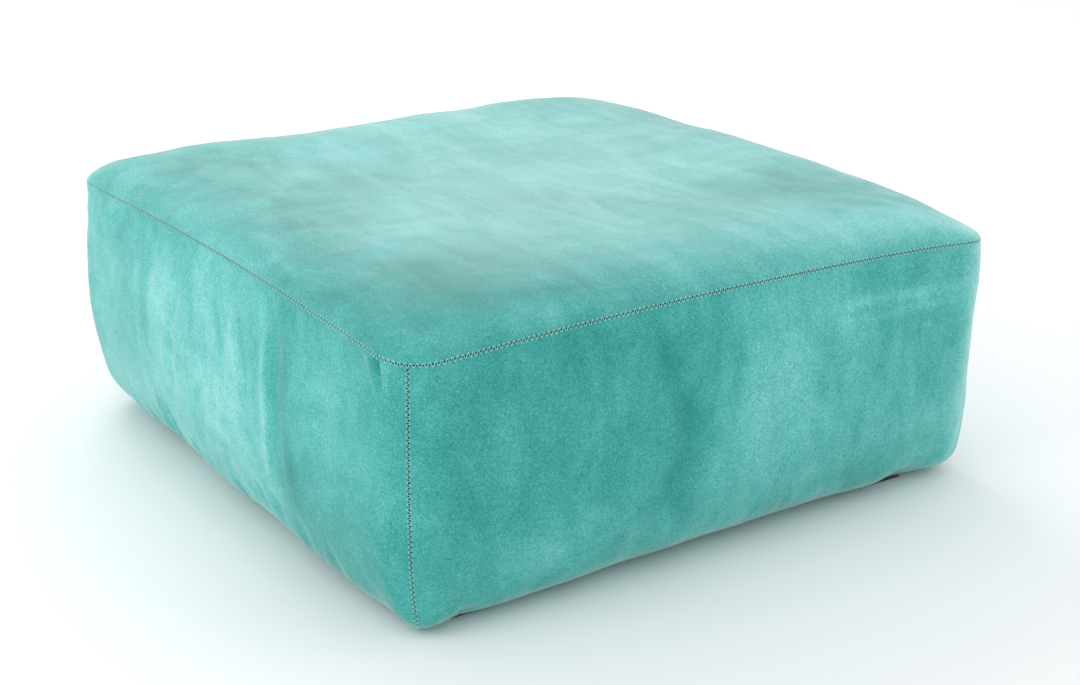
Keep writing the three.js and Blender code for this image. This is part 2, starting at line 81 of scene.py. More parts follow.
_k = np.floor(_sg).astype(int) % 4
_f = _sg - np.floor(_sg)
_t = 2 * _f - 1
_near = np.where(_f < 0.5, _k, (_k + 1) % 4)
_ZTAB = _smooth_ring(SEAM_Z[_k] * (1 - _f) + SEAM_Z[(_k + 1) % 4] * _f + BOW * (1 - _t ** 2), 0.022)
_ZSOFT = _smooth_ring(_ZTAB, 0.16)
_PTAB = _smooth_ring(PULL * (1 - _t ** 2), 0.022)
_ITAB = _smooth_ring(INB[_k], 0.06)
_RTAB = _smooth_ring(BASE_RC[_near] * np.abs(_t) ** 2.5 + BASE_RM * (1 - np.abs(_t) ** 2.5), 0.02)
_CTAB = _smooth_ring((BASE_RC + BASE_PC)[_near], 0.10)


# Soft swells and hollows of the whole body: centre (x, y, z), reach (x, y, z), move (x, y, z), all in mm.
HOLDR = 8.0
WARPS = [
    (353, -448, 12, 30, 36, 26, 0.0, 9.0, 3.5), (-380, -452, 12, 12, 30, 22, 0.0, 6.0, 3.0),
    (-480, 434, 190, 66, 66, 66, -2.3, 1.4, -0.5), (-481, 430, 306, 66, 66, 66, 0.8, -0.6, -0.1),
    (-468, 453, 360, 66, 66, 66, 2.4, -1.9, -0.6), (-417, 455, 378, 66, 66, 66, -0.0, 1.3, 2.7),
    (-364, 448, 385, 66, 66, 66, 0.2, -1.8, -3.5), (-311, 455, 384, 66, 66, 66, 0.1, 1.4, 3.1),
    (-259, 435, 391, 66, 66, 66, -0.1, -0.2, -0.5), (-207, 443, 390, 66, 66, 66, -0.1, -0.4, -1.0),
    (-145, 442, 390, 66, 66, 66, -0.1, -1.7, -3.8), (-83, 441, 391, 66, 66, 66, 0.2, -2.0, -3.9),
    (-31, 450, 388, 66, 66, 66, -0.1, -1.0, -2.4), (21, 430, 393, 66, 66, 66, -0.1, -1.2, -2.7),
    (72, 450, 387, 66, 66, 66, -0.2, -0.7, -1.9), (176, 433, 391, 66, 66, 66, -0.1, -1.4, -3.1),
    (228, 434, 389, 66, 66, 66, -0.1, -0.4, -1.1), (280, 436, 388, 66, 66, 66, 0.2, 0.6, 1.5),
    (332, 437, 386, 66, 66, 66, -0.2, -0.5, -1.3), (429, 418, 381, 66, 66, 66, -0.6, -0.6, -2.2),
    (438, 353, 385, 66, 66, 66, -0.6, -0.3, -1.6), (435, 269, 389, 66, 66, 66, -0.2, -0.0, -0.5),
    (443, 197, 389, 66, 66, 66, -0.8, 0.1, -1.1), (432, 145, 393, 66, 66, 66, -1.3, -0.2, -2.5),
    (441, 93, 391, 66, 66, 66, 1.2, -0.0, 1.7), (440, 21, 393, 66, 66, 66, 0.2, 0.1, 0.4),
    (450, -31, 390, 66, 66, 66, 0.7, 0.1, 1.2), (459, -82, 386, 66, 66, 66, -0.2, -0.1, -0.5),
    (451, -134, 390, 66, 66, 66, 1.1, 0.7, 3.1), (460, -186, 385, 66, 66, 66, -0.8, -0.1, -1.4),
    (462, -248, 385, 66, 66, 66, 1.2, 0.2, 2.3), (446, -301, 391, 66, 66, 66, -1.1, -0.3, -2.3),
    (456, -352, 386, 66, 66, 66, 0.9, -0.0, 1.3), (455, -417, 382, 66, 66, 66, -5.0, 0.0, -7.5),
    (461, -463, 355, 66, 66, 66, 1.1, -0.5, 0.6), (469, -459, 300, 66, 66, 66, 2.5, -1.9, -0.2),
    (476, -455, 244, 66, 66, 66, -4.5, 3.4, 0.5), (454, -475, 201, 66, 66, 66, 1.2, -0.9, -0.1),
    (476, -455, 150, 66, 66, 66, -3.8, 2.8, 0.3), (478, -448, 94, 66, 66, 66, 2.5, -2.0, -0.5),
    (459, -456, 39, 66, 66, 66, 1.1, -1.0, 0.0), (423, -433, 7, 66, 66, 66, -0.0, -0.4, 0.0),
    (372, -444, 14, 66, 66, 66, -1.8, 3.6, -0.0), (316, -442, 13, 66, 66, 66, 0.1, -7.1, 0.0),
    (260, -440, 13, 66, 66, 66, -0.5, 2.0, -0.0), (205, -439, 13, 66, 66, 66, -0.0, 0.5, -0.0),
    (152, -455, 23, 66, 66, 66, -0.2, 1.1, -0.0), (103, -438, 13, 66, 66, 66, -0.3, 1.2, -0.0),
    (39, -462, 30, 66, 66, 66, 0.2, -1.0, 0.0), (-18, -447, 18, 66, 66, 66, -0.6, 2.6, -0.0),
    (-75, -455, 23, 66, 66, 66, 1.1, -4.5, 0.0), (-132, -455, 24, 66, 66, 66, -0.2, 3.7, -0.0),
    (-187, -448, 18, 66, 66, 66, 0.6, -3.3, 0.0), (-244, -450, 18, 66, 66, 66, 0.2, -2.4, 0.0),
    (-302, -459, 26, 66, 66, 66, 0.2, -1.1, 0.0), (-338, -437, 10, 48, 48, 48, -1.1, -2.9, 0.0),
    (-375, -455, 20, 48, 48, 48, 1.1, 4.7, -0.0), (-417, -451, 15, 48, 48, 48, 0.6, -1.9, 0.0),
    (-443, -426, 11, 48, 48, 48, 0.6, -0.1, -0.0), (-461, -396, 28, 48, 48, 48, 5.6, -0.4, -0.0),
    (-453, -355, 20, 48, 48, 48, -3.7, 0.4, 0.0), (-458, -320, 26, 48, 48, 48, 0.5, -0.1, -0.0),
    (-456, -253, 25, 66, 66, 66, -4.7, 0.5, 0.0), (-455, -186, 24, 66, 66, 66, -1.4, 0.3, 0.0),
    (-454, -119, 23, 66, 66, 66, 1.2, -0.2, -0.0), (-461, -62, 30, 66, 66, 66, 0.4, -0.1, -0.0),
    (-461, 13, 30, 66, 66, 66, -2.9, 0.7, 0.0), (-461, 67, 30, 66, 66, 66, 0.9, -0.2, -0.0),
    (-460, 120, 29, 66, 66, 66, 2.6, -0.6, -0.0), (-459, 172, 29, 66, 66, 66, 3.0, -0.5, -0.0),
    (-463, 235, 36, 66, 66, 66, 3.0, -0.2, -0.0), (-460, 297, 35, 66, 66, 66, -1.2, 0.2, 0.0),
    (-451, 349, 28, 66, 66, 66, -0.7, 0.1, 0.0), (-470, 393, 59, 66, 66, 66, 1.8, -0.6, 1.6),
    (-475, 417, 105, 66, 66, 66, -2.2, 1.4, -0.4),
]


def warp(P):
    Q = P * 1000
    out = np.zeros_like(Q)
    for x, y, z, rx, ry, rz, dx, dy, dz in WARPS:
        e = np.exp(-(((Q[..., 0] - x) / rx) ** 2 + ((Q[..., 1] - y) / ry) ** 2 + ((Q[..., 2] - z) / rz) ** 2))
        out += e[..., None] * np.array([dx, dy, dz])
    hold = np.clip((Q[..., 2] - 6.0) / HOLDR, 0, 1)         # the base stays put
    return P + out * (hold * hold * (3 - 2 * hold))[..., None] / 1000


def outline(s, half, r):
    s = np.mod(s, 4)
    k = np.minimum(np.floor(s).astype(int), 3)
    t = 2 * (s - k) - 1
    a = np.abs(t)
    L = half - r
    ang = np.clip((a - (1 - ARC)) / ARC, 0, 1) * np.pi / 4
    flat = a <= 1 - ARC
    u = np.where(flat, t / (1 - ARC) * L, np.sign(t) * (L + r * np.sin(ang)))
    w = np.where(flat, half, L + r * np.cos(ang))
    nu = np.where(flat, 0, np.sign(t) * np.sin(ang))
    nw = np.where(flat, 1, np.cos(ang))
    ax, ay = np.array([1, 0, -1, 0])[k], np.array([0, 1, 0, -1])[k]
    ox, oy = np.array([0, 1, 0, -1])[k], np.array([-1, 0, 1, 0])[k]
    return u * ax + w * ox, u * ay + w * oy, nu * ax + nw * ox, nu * ay + nw * oy, k, t


def seam_line(s):
    x, y, nx, ny, k, t = outline(s, HALF + 0 * s, SEAM_R)
    p = _ring(_PTAB, s)
    return np.stack([x - nx * p, y - ny * p, _ring(_ZTAB, s)], -1)


def seam_pt(s):
    return warp(seam_line(s))


def side_pt(s, v):
    s, v = np.broadcast_arrays(np.asarray(s, float), np.asarray(v, float))
    z = ZB + (_ring(_ZTAB, s) - ZB) * v
    rr = SEAM_R + (_ring(_CTAB, s) - SEAM_R) * (1 - v) ** 1.5
    x, y, nx, ny, k, t = outline(s, HALF - _ring(_ITAB, s) * (1 - v), rr)
    off = (BULGE_M * (1 - t ** 2) + BULGE_C * t ** 2) * np.sin(np.pi * v ** 0.9)
    rb = _ring(_RTAB, s)
    h = np.clip(1 - (z - ZB) / rb, 0, 1)
    off = off - rb * (1 - np.sqrt(np.clip(1 - h * h, 0, 1))) - _ring(_PTAB, s) * v
    return warp(np.stack([x + nx * off, y + ny * off, z], -1))


def _crown(x, y, sx, sy, g):
    e = lambda q: np.clip(np.abs(q) / HALF, 0, 1) ** CN
    return np.clip((1 - e(x)) * (1 - e(y)) - (1 - e(sx)) * (1 - e(sy)) * g ** 14, 0, 1)


def top_pt(s, g):
    s, g = np.broadcast_arrays(np.asarray(s, float), np.asarray(g, float))
    q = seam_line(s)
    x, y = q[..., 0] * g, q[..., 1] * g
    w = 1 - g * g
    mid = SEAM_Z.mean() + 0.8 * BOW
    k = g ** 16
    zq = q[..., 2] * k + _ring(_ZSOFT, s) * (1 - k)
    z = zq * g * g + mid * w + CROWN * _crown(x, y, q[..., 0], q[..., 1], g) ** (1 / CM) + DIP * w * w
    return warp(np.stack([x, y, z], -1))


# ---- tables of distance measured on the surface, so that edges, seams and stitches have true sizes
_NS = 400
_ss = np.arange(_NS) * (4 / _NS)
_LG = 1 - np.linspace(0, 1, 700) ** 2.2
_LV = 1 - np.linspace(0, 1, 500)
_tp = top_pt(_ss[:, None], _LG[None, :])
_TL = np.concatenate([np.zeros((_NS, 1)), np.cumsum(np.linalg.norm(np.diff(_tp, axis=1), axis=-1), 1)], 1)
_sp = side_pt(_ss[:, None], _LV[None, :])
_SL = np.concatenate([np.zeros((_NS, 1)), np.cumsum(np.linalg.norm(np.diff(_sp, axis=1), axis=-1), 1)], 1)


def _interp_s(tab, s):
    """tab is (NS, m): rows at _ss. s any shape -> (..., m), periodic and linear."""
    f = np.mod(np.asarray(s, float), 4) / (4 / _NS)
    i = np.floor(f).astype(int) % _NS
    w = (f - np.floor(f))[..., None]
    return tab[i] * (1 - w) + tab[(i + 1) % _NS] * w


def g_at(s, d):
    """g at surface distance d in from the seam, for arrays s and d of one shape."""
    s, d = np.broadcast_arrays(np.asarray(s, float), np.asarray(d, float))
    L = _interp_s(_TL, s.ravel())
    dd = d.ravel()
    j = np.clip((L < dd[:, None]).sum(1), 1, L.shape[1] - 1)
    r = np.arange(len(dd))
    w = (dd - L[r, j - 1]) / np.maximum(L[r, j] - L[r, j - 1], 1e-12)
    return (_LG[j - 1] + (_LG[j] - _LG[j - 1]) * np.clip(w, 0, 1)).reshape(s.shape)


def v_at(s, d):
    """v at surface distance d down from the seam."""
    s, d = np.broadcast_arrays(np.asarray(s, float), np.asarray(d, float))
    L = _interp_s(_SL, s.ravel())
    dd = d.ravel()
    j = np.clip((L < dd[:, None]).sum(1), 1, L.shape[1] - 1)
    r = np.arange(len(dd))
    w = (dd - L[r, j - 1]) / np.maximum(L[r, j] - L[r, j - 1], 1e-12)
    return (_LV[j - 1] + (_LV[j] - _LV[j - 1]) * np.clip(w, 0, 1)).reshape(s.shape)


def side_len(s):
    return _interp_s(_SL[:, -1:], s)[..., 0]


_DS = np.linspace(0, 0.16, 260) ** 1.0
_VN = np.linspace(0, 1, 60)
_CL = {}
for _c in range(4):
    for _sg_ in (1, -1):
        pts = side_pt(_c + _sg_ * _DS[None, :], _VN[:, None])
        _CL[(_c, _sg_)] = np.concatenate([np.zeros((60, 1)), np.cumsum(np.linalg.norm(np.diff(pts, axis=1), axis=-1), 1)], 1)


def s_from_corner(c, sign, v, d):
    """s at surface distance d to one side of corner seam c, at height v (arrays of one shape)."""
    v, d = np.broadcast_arrays(np.asarray(v, float), np.asarray(d, float))
    tab = _CL[(c, sign)]
    fv = np.clip(v.ravel(), 0, 1) * 59
    i = np.clip(np.floor(fv).astype(int), 0, 58)
    w = (fv - i)[:, None]
    L = tab[i] * (1 - w) + tab[i + 1] * w
    dd = d.ravel()
    j = np.clip((L < dd[:, None]).sum(1), 1, L.shape[1] - 1)
    r = np.arange(len(dd))
    q = (dd - L[r, j - 1]) / np.maximum(L[r, j] - L[r, j - 1], 1e-12)
    return (c + sign * (_DS[j - 1] + (_DS[j] - _DS[j - 1]) * np.clip(q, 0, 1))).reshape(v.shape)


def grid_normals(P, outward=None):
    a, b = np.gradient(P, axis=0), np.gradient(P, axis=1)
    n = np.cross(a, b)
    n /= np.maximum(np.linalg.norm(n, axis=-1, keepdims=True), 1e-12)
    return n


def sstep(x, a, b):
    t = np.clip((x - a) / (b - a), 0, 1)
    return t * t * (3 - 2 * t)


NEAR = np.array([0.7, 1.0, 1.4, 2.0, 3.0, 4.8, 7.6, 11.0, 15.0]) * 1e-3   # rows close to a seam


# ---- grids of the five panels --------------------------------------------------------------------
def top_grid(step=0.006):
    m = int(round((HALF * 1.02 - NEAR[-1]) / step))
    ring_d = np.concatenate([NEAR, NEAR[-1] + (np.arange(1, m + 1) / m) * (_TL[_NS // 8, -1] - NEAR[-1])])
    g_mid = g_at(np.full(len(ring_d), 0.5), ring_d)
    g_mid[-1] = 0.0
    rho = np.concatenate([g_mid, -g_mid[::-1][1:]])          # 1 .. 0 .. -1
    n = len(rho)
    a, b = np.meshgrid(rho, rho, indexing="ij")
    R = np.maximum(np.abs(a), np.abs(b))
    edge = np.maximum(R, 1e-9)
    pa, pb = a / edge, b / edge                               # on the unit square's edge
    # unit square edge -> s. front side is b = -1 (y low), running along +x
    front, right, back, left = pb <= -1 + 1e-9, pa >= 1 - 1e-9, pb >= 1 - 1e-9, pa <= -1 + 1e-9
    s = np.select([front, right, back, left], [(pa + 1) / 2, 1 + (pb + 1) / 2, 2 + (1 - pa) / 2, 3 + (1 - pb) / 2], 0.0)
    ring = np.minimum(np.minimum(np.arange(n)[:, None], n - 1 - np.arange(n)[:, None]),
                      np.minimum(np.arange(n)[None, :], n - 1 - np.arange(n)[None, :]))
    dist = ring_d[ring]
    g_common = g_mid[ring]
    w = 1 - sstep(dist, 0.015, 0.09)
    g = np.where(w > 0, w * g_at(s, dist) + (1 - w) * g_common, g_common)
    P = top_pt(s, g)
    c = n // 2
    P[c, c] = top_pt(np.array(0.0), np.array(0.0))
    return P, s, g, dist


def side_grid(k, step=0.006, hem_rows=9):
    length = 2 * HALF
    m = int(round(length / step))
    n_near = len(NEAR)
    rows_d = None
    Lmid = float(side_len(np.array(k + 0.5)))
    nr = int(round((Lmid - NEAR[-1]) / step))
    frac = np.arange(1, nr + 1) / nr
    rows_nom = np.concatenate([NEAR, NEAR[-1] + frac * (Lmid - NEAR[-1])])
    v_nom = v_at(np.full(len(rows_nom), k + 0.5), rows_nom)
    v_nom[-1] = 0
    v_nom = np.concatenate([v_nom, np.zeros(hem_rows)])
    J = len(v_nom)
    sa = np.stack([s_from_corner(k, 1, v_nom, np.full(J, d)) for d in NEAR])
    sb = np.stack([s_from_corner((k + 1) % 4, -1, v_nom, np.full(J, d)) for d in NEAR])
    sb = np.where((k + 1) % 4 == 0, sb + 4, sb)
    q = (np.arange(1, m) / m)[:, None]
    mid = sa[-1][None, :] * (1 - q) + sb[-1][None, :] * q
    S = np.concatenate([sa, mid, sb[::-1]], 0)               # (I, J)
    I = S.shape[0]
    dist_side = np.concatenate([NEAR, np.full(m - 1, 1.0), NEAR[::-1]])[:, None] * np.ones((1, J))
    # rows: exact distance near the seam, then even shares of what is left
    L = side_len(S)
    nmain = len(rows_nom)
    D = np.zeros((I, nmain))
    D[:, :n_near] = NEAR[None, :]
    D[:, n_near:] = NEAR[-1] + frac[None, :] * (L[:, n_near:nmain] - NEAR[-1])
    V = v_at(S[:, :nmain], D)
    V[:, -1] = 0
    P = side_pt(S[:, :nmain], V)
    base = side_pt(S[:, nmain - 1], np.zeros(I))
    hx, hy, _, _, _, _ = outline(S[:, -1], HEM_IN + 0 * S[:, -1], 0.004)
    hem = np.stack([hx, hy, np.full(I, ZB)], -1)
    hq = (np.arange(1, hem_rows + 1) / hem_rows)[None, :, None]
    H = base[:, None] * (1 - hq) + hem[:, None] * hq
    P = np.concatenate([P, H], 1)
    dist_top = np.concatenate([D, np.full((I, hem_rows), 1.0)], 1)
    Vfull = np.concatenate([V, np.zeros((I, hem_rows))], 1)
    hemq = np.concatenate([np.zeros((I, nmain)), np.repeat(hq[:, :, 0], I, 0)], 1)
    return P, S, Vfull, dist_top, dist_side, hemq
# GEOMETRY-END


# =====================================================================================================
# Mesh helpers
# =====================================================================================================
def new_object(name, co, quads=(), tris=(), smooth=True, attrs=None):
    me = bpy.data.meshes.new(name)
    co = np.asarray(co, np.float32).reshape(-1, 3)
    me.vertices.add(len(co))
    me.vertices.foreach_set("co", co.ravel())
    q = np.asarray(quads, np.int32).reshape(-1, 4)
    t = np.asarray(tris, np.int32).reshape(-1, 3)
    me.loops.add(q.size + t.size)
    me.loops.foreach_set("vertex_index", np.concatenate([q.ravel(), t.ravel()]))
    me.polygons.add(len(q) + len(t))
    starts = np.concatenate([np.arange(len(q)) * 4, q.size + np.arange(len(t)) * 3])
    me.polygons.foreach_set("loop_start", starts.astype(np.int32))
    me.polygons.foreach_set("use_smooth", np.full(len(q) + len(t), smooth))
    for key, val in (attrs or {}).items():
        a = me.attributes.new(key, "FLOAT", "POINT")
        a.data.foreach_set("value", np.asarray(val, np.float32).ravel())
    me.update(calc_edges=True)
    me.validate()
    ob = bpy.data.objects.new(name, me)
    bpy.context.scene.collection.objects.link(ob)
    return ob


def grid_quads(M, N, base=0, close_i=False, close_j=False):
    i = np.arange(M if close_i else M - 1)[:, None]
    j = np.arange(N if close_j else N - 1)[None, :]
    i2, j2 = (i + 1) % M, (j + 1) % N
    q = np.stack([i * N + j, i2 * N + j, i2 * N + j2, i * N + j2], -1)
    return q.reshape(-1, 4) + base


def sheet_object(name, outer, inner, attrs=None):
    """A closed thin piece from two grids of one size. Faces point away from the middle of the sheet."""
    M, N = outer.shape[:2]
    n = M * N
    qo = grid_quads(M, N)
    c = outer.reshape(-1, 3)
    mid = ((outer[M // 2, N // 2] - inner[M // 2, N // 2]))
    q0 = qo[len(qo) // 2 + N // 2]
    nrm = np.cross(c[q0[1]] - c[q0[0]], c[q0[2]] - c[q0[0]])
    flip = nrm @ mid < 0
    qi = grid_quads(M, N, n)[:, ::-1]
    edge = []
    loops = [[(i, 0) for i in range(M)], [(M - 1, j) for j in range(N)], [(i, N - 1) for i in range(M - 1, -1, -1)], [(0, j) for j in range(N - 1, -1, -1)]]
    for lp in loops:
        ids = [i * N + j for i, j in lp]
        for a, b in zip(ids[:-1], ids[1:]):
            edge.append([b, a, a + n, b + n])
    quads = np.concatenate([qo, qi, np.array(edge)])
    if flip:
        quads = quads[:, ::-1]
    co = np.concatenate([c, inner.reshape(-1, 3)])
    at = {k: np.concatenate([v.ravel(), v.ravel()]) for k, v in (attrs or {}).items()}
    return new_object(name, co, quads, attrs=at)


def tube(name, P, N, r, sides=6, closed=False, attrs=None):
    """Round thread along points P with frame normals N."""
    T = np.roll(P, -1, 0) - np.roll(P, 1, 0) if closed else np.gradient(P, axis=0)
    T /= np.maximum(np.linalg.norm(T, axis=1, keepdims=True), 1e-12)
    B = np.cross(T, N)
    B /= np.maximum(np.linalg.norm(B, axis=1, keepdims=True), 1e-12)
    Nn = np.cross(B, T)
    a = np.arange(sides) * 2 * np.pi / sides
    r = np.broadcast_to(np.asarray(r, float), (len(P),))
    co = P[:, None] + r[:, None, None] * (np.cos(a)[None, :, None] * Nn[:, None] + np.sin(a)[None, :, None] * B[:, None])
    M = len(P)
    q = grid_quads(M, sides, close_i=closed, close_j=True)
    co = co.reshape(-1, 3)
    tris = []
    if not closed:
        co = np.concatenate([co, P[:1], P[-1:]])
        s0, s1 = M * sides, M * sides + 1
        for j in range(sides):
            tris.append([s0, j, (j + 1) % sides])
            tris.append([s1, (M - 1) * sides + (j + 1) % sides, (M - 1) * sides + j])
    # make the faces point out
    c = co[q[0]]
    nrm = np.cross(c[1] - c[0], c[2] - c[0])
    if nrm @ (c.mean(0) - P[:2].mean(0)) < 0:
        q = q[:, ::-1]
    if tris:
        tr = np.array(tris)
        c = co[tr[0]]
        if np.cross(c[1] - c[0], c[2] - c[0]) @ (P[0] - P[1]) < 0:
            tr = tr[:, ::-1]
        tris = tr
    return new_object(name, co, q, tris)


def join_tubes(name, parts):
    bpy.ops.object.select_all(action="DESELECT")
    for o in parts:
        o.select_set(True)
    bpy.context.view_layer.objects.active = parts[0]
    bpy.ops.object.join()
    parts[0].name = name
    parts[0].data.name = name
    return parts[0]


# =====================================================================================================
# Materials
# =====================================================================================================
class Mat:
    """A small wrapper that keeps node trees short to write."""

    def __init__(self, name):
        self.m = bpy.data.materials.new(name)
        self.m.use_nodes = True
        self.t = self.m.node_tree
        self.n = self.t.nodes
        self.n.clear()
        self.out = self.n.new("ShaderNodeOutputMaterial")
        self.b = self.n.new("ShaderNodeBsdfPrincipled")
        self.t.links.new(self.b.outputs[0], self.out.inputs[0])
        self.tc = self.n.new("ShaderNodeTexCoord")

    def link(self, a, b):
        self.t.links.new(a, b)

    def set(self, **kw):
        for k, v in kw.items():
            self.b.inputs[k.replace("_", " ")].default_value = v

    def mapping(self, scale=(1, 1, 1), rot=(0, 0, 0)):
        mp = self.n.new("ShaderNodeMapping")
        mp.inputs["Scale"].default_value = scale
        mp.inputs["Rotation"].default_value = rot
        self.link(self.tc.outputs["Object"], mp.inputs["Vector"])
        return mp.outputs[0]

    def noise(self, scale, detail=3, rough=0.5, dist=0.0, vec=None):
        nd = self.n.new("ShaderNodeTexNoise")
        nd.inputs["Scale"].default_value = scale
        nd.inputs["Detail"].default_value = detail
        nd.inputs["Roughness"].default_value = rough
        nd.inputs["Distortion"].default_value = dist
        self.link(vec if vec is not None else self.tc.outputs["Object"], nd.inputs["Vector"])
        return nd.outputs["Fac"]

    def voronoi(self, scale, feature="F1", vec=None):
        nd = self.n.new("ShaderNodeTexVoronoi")
        nd.feature = feature
        nd.inputs["Scale"].default_value = scale
        self.link(vec if vec is not None else self.tc.outputs["Object"], nd.inputs["Vector"])
        return nd.outputs["Distance"]

    def wave(self, scale, dist=0.0, vec=None, direction="X", detail=2.0, dscale=1.0):
        nd = self.n.new("ShaderNodeTexWave")
        nd.bands_direction = direction
        nd.inputs["Scale"].default_value = scale
        nd.inputs["Distortion"].default_value = dist
        nd.inputs["Detail"].default_value = detail
        nd.inputs["Detail Scale"].default_value = dscale
        self.link(vec if vec is not None else self.tc.outputs["Object"], nd.inputs["Vector"])
        return nd.outputs["Fac"]

    def math(self, op, a, b=None, c=None, clamp=False):
        nd = self.n.new("ShaderNodeMath")
        nd.operation = op
        nd.use_clamp = clamp
        for i, v in enumerate((a, b, c)):
            if v is None:
                continue
            if isinstance(v, (int, float)):
                nd.inputs[i].default_value = v
            else:
                self.link(v, nd.inputs[i])
        return nd.outputs[0]

    def ramp(self, fac, stops):
        nd = self.n.new("ShaderNodeValToRGB")
        e = nd.color_ramp.elements
        while len(e) < len(stops):
            e.new(0.5)
        for el, (p, col) in zip(e, stops):
            el.position = p
            el.color = (*col, 1) if len(col) == 3 else col
        self.link(fac, nd.inputs[0])
        return nd.outputs[0]

    def mix(self, fac, a, b, blend="MIX"):
        nd = self.n.new("ShaderNodeMix")
        nd.data_type = "RGBA"
        nd.blend_type = blend
        nd.clamp_factor = True
        for idx, v in ((0, fac), (6, a), (7, b)):
            if isinstance(v, (int, float)):
                nd.inputs[idx].default_value = v
            elif isinstance(v, tuple):
                nd.inputs[idx].default_value = (*v, 1)
            else:
                self.link(v, nd.inputs[idx])
        return nd.outputs[2]

    def attr(self, name):
        nd = self.n.new("ShaderNodeAttribute")
        nd.attribute_name = name
        return nd.outputs["Fac"]

    def bump(self, *layers):
        """layers are (height, strength, distance in metres), the coarsest first."""
        prev = None
        for h, strength, dist in layers:
            nd = self.n.new("ShaderNodeBump")
            nd.inputs["Strength"].default_value = strength
            nd.inputs["Distance"].default_value = dist
            self.link(h, nd.inputs["Height"])
            if prev is not None:
                self.link(prev, nd.inputs["Normal"])
            prev = nd.outputs[0]
        self.link(prev, self.b.inputs["Normal"])

    def color(self, sock):
        self.link(sock, self.b.inputs["Base Color"])

    def rough(self, sock):
        self.link(sock, self.b.inputs["Roughness"])


FAB_DARK = (0.024, 0.258, 0.224)
FAB_MID = (0.056, 0.378, 0.338)
FAB_LIGHT = (0.145, 0.550, 0.508)
FAB_PALE = (0.320, 0.700, 0.672)
FAB_PAINTED_SHEEN = (0.500, 0.690, 0.705)


def mat_fabric():
    m = Mat("teal_microsuede")
    m.set(Specular_IOR_Level=0.12, Sheen_Weight=0.60, Sheen_Roughness=0.35, Sheen_Tint=(0.95, 1.0, 1.0, 1))
    # brushed nap: broad soft marks, then hand-sized strokes, then a fine grain
    broad = m.noise(3.2, 4, 0.52, 0.8)
    strokes = m.noise(5.0, 5, 0.58, 1.2, m.mapping((3.4, 1.0, 1.6), (0.3, 0.2, 0.75)))
    strokes2 = m.noise(7.0, 4, 0.55, 0.9, m.mapping((1.0, 2.8, 1.2), (0.1, 0.35, -0.5)))
    mott = m.noise(38.0, 4, 0.6, 0.4)
    grain = m.noise(520.0, 3, 0.75)
    fleck = m.noise(230.0, 4, 0.7)
    nap_and_painted_light = m.attr("nap_and_painted_light")
    v = m.math("MULTIPLY_ADD", m.math("SUBTRACT", broad, 0.5), 0.85, 0.42)
    v = m.math("MULTIPLY_ADD", m.math("SUBTRACT", strokes, 0.5), 0.55, v)
    v = m.math("MULTIPLY_ADD", m.math("SUBTRACT", strokes2, 0.5), 0.35, v)
    v = m.math("MULTIPLY_ADD", m.math("SUBTRACT", mott, 0.5), 0.28, v)
    v = m.math("MULTIPLY_ADD", m.math("SUBTRACT", fleck, 0.5), 0.60, v)
    v = m.math("MULTIPLY_ADD", m.math("SUBTRACT", grain, 0.5), 1.55, v)
    # the nap attribute adds nap tone together with painted sheen, painted shade and painted highlights
    v = m.math("ADD", v, nap_and_painted_light)
    col = m.ramp(v, [(0.0, FAB_DARK), (0.35, FAB_MID), (0.72, FAB_LIGHT), (1.0, FAB_PALE)])
    # the cloth right beside a seam is mixed a little toward the dark colour
    seam = m.attr("seam")
    col = m.mix(m.math("MULTIPLY", seam, 0.22), col, FAB_DARK)
    # painted sheen: the top is mixed toward a paler, greyer colour, most across the middle and the far half
    col = m.mix(m.math("MULTIPLY", m.attr("top_painted_sheen"), m.math("MULTIPLY_ADD", strokes, 0.7, 0.15, clamp=True)), col, FAB_PAINTED_SHEEN)
    m.color(col)
    m.rough(m.math("MULTIPLY_ADD", mott, 0.12, 0.82))
    m.bump((mott, 0.22, 0.0022), (fleck, 0.45, 0.0011), (grain, 0.55, 0.0008))
    return m.m


def mat_tape():
    m = Mat("dark_seam_tape")
    w1 = m.wave(900, 0.5, direction="X")
    w2 = m.wave(900, 0.5, direction="Z")
    n = m.noise(60, 3)
    v = m.math("MULTIPLY_ADD", m.math("ADD", w1, w2), 0.25, m.math("MULTIPLY", n, 0.5))
    m.color(m.ramp(v, [(0.0, (0.006, 0.032, 0.032)), (1.0, (0.016, 0.075, 0.070))]))
    m.set(Roughness=0.95, Specular_IOR_Level=0.1)
    m.bump((w1, 0.4, 0.0003), (w2, 0.4, 0.0003))
    return m.m


def mat_thread():
    m = Mat("stitch_thread")
    tw = m.wave(520, 2.0, m.mapping((1, 1, 1), (0.6, 0.5, 0.4)), detail=1.0)
    n = m.noise(45, 3)
    v = m.math("MULTIPLY_ADD", tw, 0.35, m.math("MULTIPLY", n, 0.65))
    m.color(m.ramp(v, [(0.1, (0.22, 0.58, 0.54)), (0.9, (0.44, 0.84, 0.80))]))
    m.set(Roughness=0.62, Specular_IOR_Level=0.35, Sheen_Weight=0.25, Sheen_Roughness=0.4)
    m.bump((tw, 0.5, 0.0002),)
    return m.m


def mat_foam(name, dark, light, cell=420.0):
    m = Mat(name)
    vo = m.voronoi(cell)
    vo2 = m.voronoi(cell * 0.43)
    n = m.noise(14, 4, 0.6)
    v = m.math("MULTIPLY_ADD", vo, 0.5, m.math("MULTIPLY", n, 0.6))
    m.color(m.ramp(v, [(0.1, dark), (0.85, light)]))
    m.rough(m.math("MULTIPLY_ADD", n, 0.1, 0.86))
    m.set(Specular_IOR_Level=0.1)
    m.bump((n, 0.2, 0.004), (vo2, 0.5, 0.0012), (vo, 0.6, 0.0007))
    return m.m


